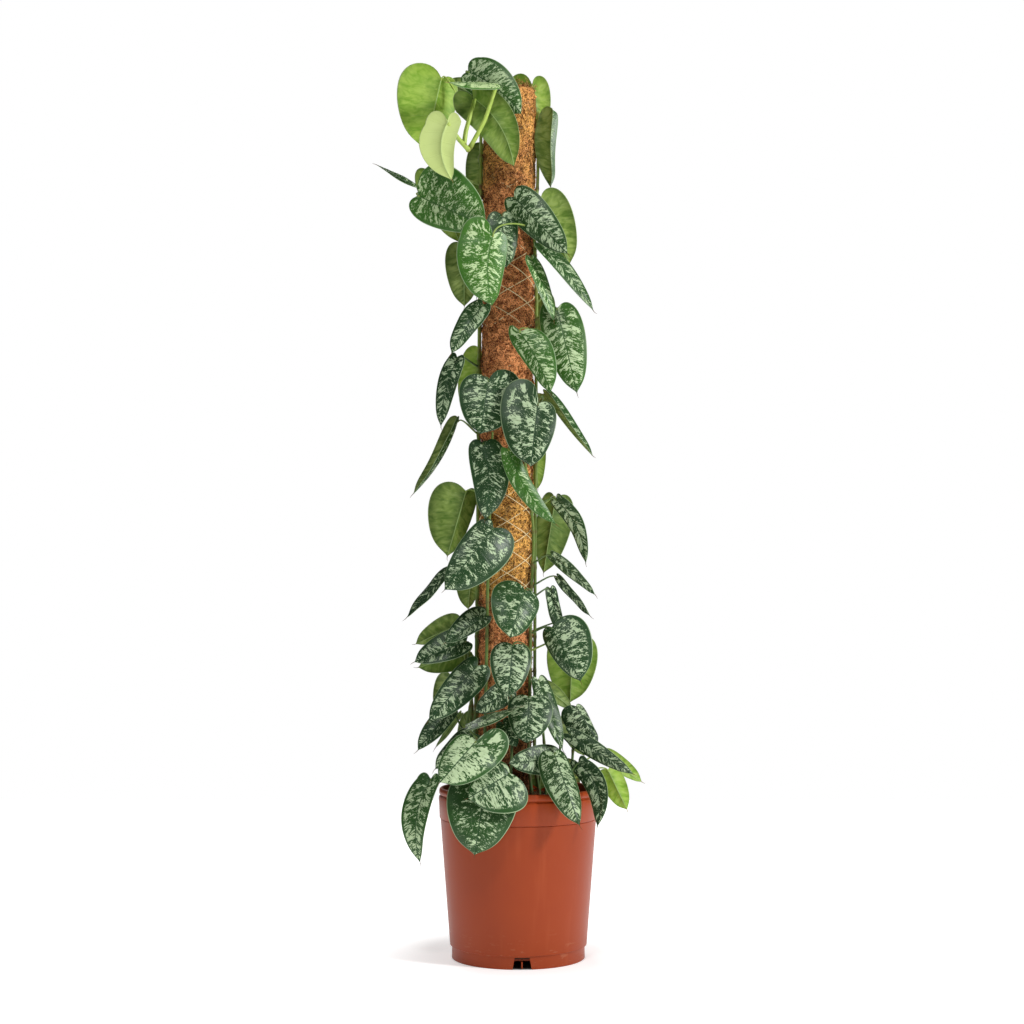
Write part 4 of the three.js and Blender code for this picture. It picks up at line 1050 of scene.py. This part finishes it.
        [312, (60, 334, 104), (102, 215, 158), (20, -24), (34, -6), 0, 0.08, 0.4, 0.5, 0.1, 0.62, 1],
    ],
    "shoot_over_rim": [
        [288, (-15, 301, 138), (-84, 260, 160), (60, 8), (31, -8), 0, 0.06, 0.7, 0.4, 0.1, 0.68, 1],
        [274, (-54, 286, 132), (-73, 166, 158), (57, -10), (60, -10), 0, 0.08, 0.5, 0.5, 0.1, 0.36, 1],
    ],
    "shoot_back_left": [
        [428, (-112, 462, -62), (-134, 400, -100), (22, 4), (24, 4), 0, -0.06, 0.5, 0.5, 0.1, 0.5, -1],
        [366, (-62, 396, -96), (-88, 320, -134), (34, 6), (34, 6), 0, -0.06, 0.5, 0.5, 0.05, 0.6, -1],
        [286, (-82, 300, -122), (-88, 215, -152), (36, 6), (36, 6), 0, -0.06, 0.5, 0.5, 0, 0.7, -1],
    ],
    "shoot_back": [
        [398, (0, 416, -100), (-4, 330, -138), (34, 6), (34, 6), 0, -0.06, 0.5, 0.5, 0, 0.6, -1],
        [312, (-10, 330, -124), (-18, 240, -152), (32, 6), (34, 6), 0, -0.06, 0.5, 0.5, 0.05, 0.7, -1],
    ],
    "shoot_back_right": [
        [380, (88, 398, -74), (110, 330, -112), (24, 4), (26, 4), 0, -0.06, 0.5, 0.5, 0.1, 0.5, -1],
        [296, (38, 328, -34), (36, 274, -52), (24, -4), (26, -2), 0, 0.04, 0.5, 0.5, 0, 0.3, -1],
        [300, (72, 318, -112), (88, 236, -148), (28, 6), (28, 6), 0, -0.06, 0.5, 0.5, 0, 0.65, -1],
    ],
}
print(sum(len(rows) for rows in LEAVES.values()), "leaves")

# %% [markdown]
# ## The leaf blade
# A satin pothos leaf is a heart with its point drawn out. Its side veins leave the midrib and sweep
# round towards the point. The blade could be cut from a flat sheet and bent, but then nothing on it
# would know where the veins run. Here the sheet is worked out along the veins themselves: `t` picks a
# vein, from the base lobe round to the point, and `w` runs out along it from the midrib to the edge.
# The maps that the material needs then fall out of the same two numbers.

# %% Leaf surface
BLADE_ROWS = 36
BLADE_HALF = 0.28
RIB_DEEP = 1.0
RIB_HIGH = 0.3
RIB_WIDE = 1.5
PATTERN_RIGHT = 40.0
PATTERN_LEFT = 90.0
PATTERN_STEP = 17.3
VEINS = 9
SLOT_UPPER, SLOT_UNDER, SLOT_STALK, SLOT_ROOT = range(4)
ACROSS = np.array([0, 0.03, 0.08, 0.17, 0.29, 0.42, 0.55, 0.68, 0.8, 0.9, 0.965, 1.0])
SPAN = np.concatenate([ACROSS[::-1], -ACROSS[1:]])


def blade(row, seed):
    """Rings round one leaf blade, with its wall materials, its maps and its own axes.

    With c = (1 - cos t) / 2 and s = sin t, the edge stands p = c - lobe s (1 - t / pi)^3 down the leaf
    and q = s^(0.8 + 1.7 c^12 + 0.55 lobe (1 - c)^6) (1.16 - 0.62 c^1.3) out from it. The vein t starts
    on the midrib at m = c^1.6, and a point at w on it is m + w (p - m) down and w q out. Both the
    midrib's bend and the blade's arch follow 4 P (1 - P), with P the way down. The upper face adds a
    crown on each half, a furrow over each vein and a wave along the edge, and the underside a rib
    along the midrib, which fades towards the point. Each half of each leaf has its own place in the
    noises of its finish, so that no two carry the same pattern.
    """
    base, tip, right, left, bend, arch, lobe_right, lobe_left, young, silver, face = row[1:]
    rng = np.random.default_rng(seed)
    base, tip = seen(base), seen(tip)
    length = np.linalg.norm(tip - base)
    along = unit(tip - base)
    sight = unit(EYE - (base + tip) / 2)
    near = unit(sight - along * (sight @ along))
    side = np.cross(near, along)
    t = np.linspace(0, np.pi, BLADE_ROWS + 1)[1:-1, None]
    w = SPAN[None]
    on_right = w >= 0
    lobe = np.where(on_right, lobe_right, lobe_left)
    across = np.where(on_right, right[0], left[0])
    nearer = np.where(on_right, right[1], left[1])
    out = np.abs(w)
    c = (1 - np.cos(t)) / 2
    s = np.sin(t)
    p = c - lobe * s * (1 - t / np.pi) ** 3
    q = s ** (0.8 + 1.7 * c ** 12 + 0.55 * lobe * (1 - c) ** 6) * (1.16 - 0.62 * c ** 1.3)
    m = c ** 1.6
    down = m + out * (p - m)
    wide = out * q
    bow = 4 * np.maximum(down, 0) * (1 - down)
    sheet = (
        base + (down * length)[..., None] * along
        + (np.sign(w) * across * wide + bend * bow)[..., None] * side
        + (nearer * wide + arch * length * bow)[..., None] * near
    )
    normal = unit(np.cross(np.gradient(sheet, axis=1), np.gradient(sheet, axis=0)))
    breadth = np.hypot(across, nearer) * wide
    hill = 4 * out * (1 - out) * s
    crown = 0.06 * np.hypot(across, nearer) * hill
    furrow = 0.32 * np.cos(2 * VEINS * t) * hill
    phase = rng.uniform(0, 2 * np.pi, 2)
    swell = rng.uniform(0.6, 1.5)
    beat = rng.uniform(3, 5.5)
    ripple = swell * out ** 3 * np.sin(beat * t + np.where(on_right, *phase)) * s
    relief = face * (crown - furrow + ripple)
    rib = np.exp(-(breadth / RIB_WIDE) ** 2)
    upper = BLADE_HALF - RIB_HIGH * rib * (1 - c)
    under = BLADE_HALF + RIB_DEEP * rib * (1 - 0.9 * c)
    front, back = (upper, under) if face > 0 else (under, upper)
    near_side = sheet + normal * (relief + front)[..., None]
    far_side = sheet + normal * (relief - back)[..., None]
    rings = np.concatenate([near_side, far_side[:, ::-1]], axis=1)
    flat = np.zeros_like(out * t)
    pattern = np.where(on_right, PATTERN_RIGHT, PATTERN_LEFT) + seed * PATTERN_STEP
    maps = {
        "vein": np.stack([out + flat, t / np.pi + flat, flat], axis=-1),
        "place": np.stack([breadth, m * length + flat, pattern + flat], axis=-1),
        "age": np.broadcast_to([young, silver, rng.uniform(0, 1)], sheet.shape),
    }
    maps = {name: np.concatenate([values, values[:, ::-1]], axis=1)[None] for name, values in maps.items()}
    shown, hidden = (SLOT_UPPER, SLOT_UNDER) if face > 0 else (SLOT_UNDER, SLOT_UPPER)
    half = len(SPAN) - 1
    walls = np.array([shown] * half + [SLOT_UPPER] + [hidden] * half + [SLOT_UPPER])
    leaf = SimpleNamespace(base=base, tip=tip, along=along, side=side, near=near, length=length)
    return rings, walls, maps, leaf


# %% [markdown]
# A stalk leaves its stem outwards, climbs, and arches over into the blade, where it swells into a small
# knuckle. Its upper side has a groove, in which the next leaf lay before it opened. The drip tip at the
# leaf's point is a tiny brown hook. The climbing stems send short aerial roots over the mat.

# %% Stalks, drip tips and aerial roots
HOOK_RINGS = 7
HOOK_ROOT = 3.5
ROOTS_AT_JOINT = 3


def curve(points, count):
    """A cubic curve from the first of four points to the last.

    With u from 0 to 1 it is a (1 - u)^3 + 3 b u (1 - u)^2 + 3 c u^2 (1 - u) + d u^3.
    """
    u = np.linspace(0, 1, count)[:, None]
    a, b, c, d = points
    return a * (1 - u) ** 3 + 3 * b * u * (1 - u) ** 2 + 3 * c * u ** 2 * (1 - u) + d * u ** 3


def stalk(fork_height, leaf, stem):
    """The line of a leaf stalk, and its radius at each point.

    The line is a cubic curve that leaves the fork outwards and upwards and comes in behind the blade.
    The radius falls with the square of the way along, and swells again in the knuckle at the end.
    """
    fork = between(fork_height, stem[:, 2], stem)
    end = leaf.base + leaf.along * 2
    reach = np.linalg.norm(end - fork)
    outwards = np.array([fork[0] - pole_x(fork[2]), fork[1], 0.0])
    away = unit(unit((end - fork) * (1, 1, 0)) + unit(outwards))
    first = fork + away * reach * 0.35 + (0, 0, max(end[2] - fork[2], 0) * 0.3 + reach * 0.1)
    second = end - leaf.along * reach * 0.3
    count = max(9, int(reach / 5))
    u = np.linspace(0, 1, count)
    radius = 1.35 + 0.75 * (1 - u) ** 2 + 0.45 * np.exp(-((1 - u) * reach / 5) ** 2)
    return curve((fork, first, second, end), count), radius


def hook(leaf, bend, seed):
    """The drip tip: a line on from the leaf's point, which curls aside with the square of its length."""
    rng = np.random.default_rng(seed + 500)
    u = np.linspace(0, 1, HOOK_RINGS)[:, None]
    long = rng.uniform(5.0, 8.5)
    heading = unit(leaf.along - leaf.side * bend * 4 / leaf.length)
    turn = leaf.side * rng.choice([-1, 1]) * rng.uniform(0.2, 0.8) + leaf.near * rng.uniform(-0.6, 0.2)
    line = leaf.tip - heading * HOOK_ROOT + heading * u * (long + HOOK_ROOT)
    return line + turn * long * np.maximum(u - 0.3, 0) ** 2, np.linspace(0.75, 0.22, HOOK_RINGS)


def runners(stem, heights, seed):
    """Short aerial roots at the joints of a stem, which grip the mat.

    Each root turns about the pole with its length and sinks from the stem's ring to the mat's face.
    """
    rng = np.random.default_rng(seed)
    count = ROOTS_AT_JOINT * len(heights)
    level = np.repeat(heights, ROOTS_AT_JOINT) + rng.normal(size=count) * 1.5
    start = between(level, stem[:, 2], stem)
    turn = np.arctan2(start[:, 1], start[:, 0] - pole_x(level))
    u = np.linspace(0, 1, 6)
    long = rng.uniform(9, 26, (count, 1))
    sweep = rng.choice([-1, 1], (count, 1)) * rng.uniform(0.4, 1.0, (count, 1))
    around = turn[:, None] + sweep * long * u / COIR_RADIUS
    height = level[:, None] + rng.uniform(-1.0, 0.35, (count, 1)) * long * u ** 1.3
    out = VINE_RING - (VINE_RING - COIR_RADIUS - 0.6) * np.minimum(1, u * 2.2)
    return on_pole(out, around, height), np.linspace(0.95, 0.4, 6) * rng.uniform(0.7, 1.2, (count, 1))


# %% [markdown]
# Every stem with its leaves becomes a piece of its own, with four finishes: the upper face, the
# underside, green stalk and brown root. Each piece stands for the plain node of that name. Three
# functions add a leaf, a twig and a stem to a piece, and one loop then grows them all.

# %% Growing one leaf, twig or stem
upper_look = Look("leaf_upper_face", Specular_IOR_Level=0.36)
under_look = Look("leaf_underside", Specular_IOR_Level=0.3)
stalk_look = Look("green_stalk", Specular_IOR_Level=0.4)
root_look = Look("brown_root", Roughness=0.8, Specular_IOR_Level=0.2)
GROOVE = 0.35
JOINT_EVERY = 58.0
JOINT_LONG = 3.2
FIRST_RUNNER = 330.0
TWIG_RADIUS = 4.1


def ages(young, knuckle):
    """The age map of a stalk or stem: how young it is, and how much of a knuckle, point by point."""
    return np.stack(np.broadcast_arrays(young, 0.0, knuckle), axis=-1)[None, :, None]


def grow_leaf(piece, row, seed, stem):
    """Adds a blade with its drip tip, and the stalk unless the blade ends a twig."""
    fork_height, bend, young = row[0], row[5], row[9]
    rings, walls, maps, leaf = blade(row, seed)
    piece.add(rings, walls=walls, **maps)
    line, radius = hook(leaf, bend, seed)
    piece.add(bars(line, radius, 6), slot=SLOT_ROOT, age=(young, 0.0, 0.0))
    if fork_height > 0:
        line, radius = stalk(fork_height, leaf, stem)
        piece.add(bars(line, radius, 10, GROOVE), slot=SLOT_STALK, age=ages(young, np.zeros_like(radius)))


def grow_twig(piece, twig):
    """Adds a young side shoot, with a knuckle where its neighbours fork off."""
    points = np.array([seen(p) for p in twig])
    stops = np.linspace(0, 1, len(points))
    u = np.linspace(0, 1, 30)
    line = smooth(between(u, stops, points))
    knuckle = np.exp(-((u - (0.5 if len(twig) > 3 else 0)) / 0.045) ** 2)
    radius = TWIG_RADIUS - 0.7 * u + 0.8 * knuckle
    piece.add(bars(line, radius, 12, GROOVE), slot=SLOT_STALK, age=ages(1.0, knuckle))


def grow_stem(piece, stem, joints, thick):
    """Adds a stem: it swells at its joints, thins towards its tip, and is younger the higher it is."""
    height = stem[:, 2]
    joint = np.minimum(np.exp(-((height[:, None] - joints) / JOINT_LONG) ** 2).sum(axis=1), 1)
    radius = thick * (0.86 + 0.22 * joint) * np.interp(height, [height[-1] - 60, height[-1]], [1, 0.62])
    young = np.clip((height - 260) / 1200, 0, 1) * 0.7
    piece.add(bars(stem, radius, 10), slot=SLOT_STALK, age=ages(young, joint))


# %% Grow the plant
seed = 0
for name, stem in STEMS.items():
    piece = Piece(name + "_plant", upper_look, under_look, stalk_look, root_look)
    for row in LEAVES[name]:
        seed += 1
        grow_leaf(piece, row, seed, stem)
    for twig in TWIGS.get(name, []):
        grow_twig(piece, twig)
    forks = [min(row[0], stem[-1, 2]) for row in LEAVES[name] if row[0] > 0]
    bare_joints = np.arange(stem[0, 2] + 75, stem[-1, 2] - 20, JOINT_EVERY)
    joints = np.array(sorted([*forks, *bare_joints]))
    grow_stem(piece, stem, joints, VINE_RADIUS if name in VINES else SHOOT_RADIUS)
    if name in VINES:
        lines, radius = runners(stem, joints[joints > FIRST_RUNNER], seed)
        piece.add(bars(lines, radius, 5), slot=SLOT_ROOT, age=(0.2, 0.0, 0.0))
    piece.finish("foliage", name)

# %% [markdown]
# Between the short stems the soil is littered with dry stubs of cut stalks and with loose brown roots.
# They make the gaps above the rim look dark and busy.

# %% Litter on the soil
STUBS = 40
ROOTS = 90
ROOT_REACH = 117.0
rng = np.random.default_rng(31)
litter = Piece("soil_litter", root_look)


def on_soil(count, inner, outer):
    """Places at random turns on the soil, in a ring between two radii, as x, y and z."""
    far = rng.uniform(inner, outer, (count, 1))
    turn = rng.uniform(0, 2 * np.pi, (count, 1))
    return far * np.cos(turn), far * np.sin(turn), soil_level(far)


u = np.linspace(0, 1, 5)
foot = np.stack(on_soil(STUBS, 54, 112), axis=-1)
lean = unit(rng.normal(size=(STUBS, 1, 3)) * (0.45, 0.45, 0) + (0, 0, 1))
line = foot + lean * (rng.uniform(8, 36, (STUBS, 1)) * u - 3)[..., None]
litter.add(bars(line, rng.uniform(1.0, 2.3, (STUBS, 1)) * (1 - 0.3 * u ** 4), 7), age=(0.0, 0.0, 0.0))
u = np.linspace(0, 1, 9)
x, y, z = on_soil(ROOTS, 50, 108)
heading = rng.uniform(0, 2 * np.pi, (ROOTS, 1)) + rng.normal(size=(ROOTS, 1)) * 1.6 * u
step = rng.uniform(2.5, 5.5, (ROOTS, 1))
x = np.clip(x + np.cumsum(step * np.cos(heading), axis=1), 1 - ROOT_REACH, ROOT_REACH - 1)
y = np.clip(y + np.cumsum(step * np.sin(heading), axis=1), 1 - ROOT_REACH, ROOT_REACH - 1)
inside = np.minimum(1, ROOT_REACH / np.hypot(x, y))
z = z + rng.uniform(0.5, 12, (ROOTS, 1)) * np.sin(np.pi * u)
line = np.stack([x * inside, y * inside, z], axis=-1)
litter.add(bars(line, rng.uniform(0.4, 1.0, (ROOTS, 1)) * (1 - 0.5 * u), 4), age=(0.35, 0.0, 0.0))
litter.finish("soil")

# %% [markdown]
# ## Leaf finishes
# The silver patches are pockets of air under the leaf's skin, so they break along the veins, keep off
# the midrib, and leave a green band and a thin pale line at the edge. Noise is laid out along the
# veins, stretched so that a patch is longer than wide, and cut at a level that depends on how much
# silver the leaf carries. Both faces share these readings.

# %% Silver patches
def patches(look):
    """Readings that both faces share: where silver, side veins, edge and midrib lie, and the noises."""
    out, vein, _ = look.split(look.map("vein"))
    place = look.map("place")
    across = look.split(place)[0]
    young, silver, tone = look.split(look.map("age"))
    cloud = look.noise(place, (0.062, 0.14, 1.0), 2.0, 0.55, 0.6)
    chip = look.noise(place, (0.17, 0.52, 1.0), 2.0, 0.6)
    fleck = look.noise(place, (0.5, 0.85, 1.0))
    height = cloud + (chip - 0.5) * 0.8 + (fleck - 0.5) * 0.25
    limit = 0.515 + (0.65 - silver) * 0.3
    large = look.step(height - limit, -0.006, 0.02)
    small = look.step(fleck + silver * 0.08 + (cloud - 0.5) * 0.3, 0.65, 0.69)
    band = 1 - look.step(out + (chip - 0.5) * 0.3 + (cloud - 0.5) * 0.3, 0.82, 0.9)
    spine = look.step(across + (chip - 0.5) * 2.4, 0.5, 1.3)
    saw = look.sign("PINGPONG", vein * (2 * VEINS), 1.0)
    return SimpleNamespace(
        out=out, young=young, tone=tone, cloud=cloud, chip=chip,
        patch=look.sign("MAXIMUM", large, small * 0.8) * band * spine * look.step(silver, 0.02, 0.1),
        line=look.step(saw, 0.9, 1.0) * (1 - look.step(out, 0.8, 0.95)),
        edge=look.step(out, 0.968, 0.99),
        midrib=1 - look.step(across, 0.35, 1.0),
    )


# %% [markdown]
# The upper face is dark blue-green, and fresh green while the leaf is young. The silver is matt, so
# the face is rougher there. A fine grain and the sunken side veins break up its shine.

# %% Upper face
leaf = patches(upper_look)
deep = upper_look.mix(leaf.cloud, "122a12", "2a4a25")
fresh = upper_look.mix(leaf.cloud, "336a18", "6cae34")
green = upper_look.coats(upper_look.mix(leaf.young, deep, fresh), (leaf.tone * 0.35, "2f5a2c"))
pale = upper_look.mix(leaf.young, upper_look.mix(leaf.chip, "8eac78", "cfdfbc"), "cfe8a8")
colour = upper_look.coats(
    green,
    (leaf.patch, pale),
    (leaf.line * 0.3, green),
    (leaf.midrib * 0.35, "2b4632"),
    (leaf.edge * 0.8, "a9bf94"),
)
skin = upper_look.noise(upper_look.here, 1500.0)
upper_look.ends(
    Base_Color=colour,
    Roughness=0.36 + leaf.patch * 0.16,
    Normal=upper_look.bump(skin * 0.5 + leaf.patch * 0.5 - leaf.line * 0.9, 0.0002),
)
print("upper face:", len(upper_look.tree.nodes), "nodes")

# %% [markdown]
# The underside is olive, and lime where light shines through a young leaf. Painted shade darkens it
# along the midrib and towards the edge, as the cupped blade would shade itself. Its veins stand out,
# and the patches show only very faintly.

# %% Underside
leaf = patches(under_look)
olive = under_look.mix(under_look.step(leaf.cloud, 0.2, 0.8), "456020", "94a658")
lime = under_look.mix(under_look.step(leaf.cloud, 0.25, 0.75), "84b426", "bfe05c")
painted_fold_shade = 1 - leaf.out * (1 - leaf.out) * 4
colour = under_look.coats(
    under_look.mix(under_look.step(leaf.young, 0.15, 1.0), olive, lime),
    (leaf.tone * 0.35, "4c7029"),
    (under_look.step(leaf.young, 1.05, 1.3), "c4d684"),
    # painted shade along the midrib and towards the edge
    (painted_fold_shade * (1 - leaf.young * 0.65) * 0.8, "2f4c18"),
    (leaf.patch * 0.16, "94ad72"),
    (leaf.line * (1 - leaf.young * 0.7) * 0.35, "45682c"),
    (leaf.midrib * 0.6, "a9c47c"),
    (leaf.edge * 0.6, "aec286"),
)
skin = under_look.noise(under_look.here, 1500.0)
under_look.ends(
    Base_Color=colour,
    Roughness=0.46 + leaf.chip * 0.1,
    Normal=under_look.bump(skin * 0.5 + leaf.line * 0.9, 0.0002),
)
print("underside:", len(under_look.tree.nodes), "nodes")

# %% [markdown]
# Stalks are yellow-green where young and darker where old, with pale streaks and a few brown patches,
# and stems are brown at their joints. Roots and drip tips are brown, and paler on young leaves.

# %% Stalk and root finishes
young, _, joint = stalk_look.split(stalk_look.map("age"))
cloud = stalk_look.noise(stalk_look.here, 70.0, 3.0)
streak = stalk_look.noise(stalk_look.here, (700.0, 700.0, 60.0))
old = stalk_look.mix(cloud, "34502c", "5b7a3c")
new = stalk_look.mix(cloud, "8eac3a", "c6da70")
brown = stalk_look.step(cloud, 0.52, 0.66) * (1 - young) * 0.5
brown = stalk_look.sign("MAXIMUM", brown, joint * cloud * 1.3)
colour = stalk_look.coats(
    stalk_look.mix(young, old, new),
    (stalk_look.step(streak, 0.5, 0.75) * 0.3, "a5bb74"),
    (brown, "6a4a30"),
)
stalk_look.ends(Base_Color=colour, Roughness=0.45 + brown * 0.2, Normal=stalk_look.bump(streak, 0.0002))

young = root_look.split(root_look.map("age"))[0]
colour = root_look.coats(
    root_look.mix(root_look.noise(root_look.here, 300.0, 3.0), "3f2a1a", "7d5a38"),
    (root_look.step(young, 0.3, 1.0) * 0.7, "b4a468"),
)
root_look.ends(Base_Color=colour)
print("stalk and root finishes made")
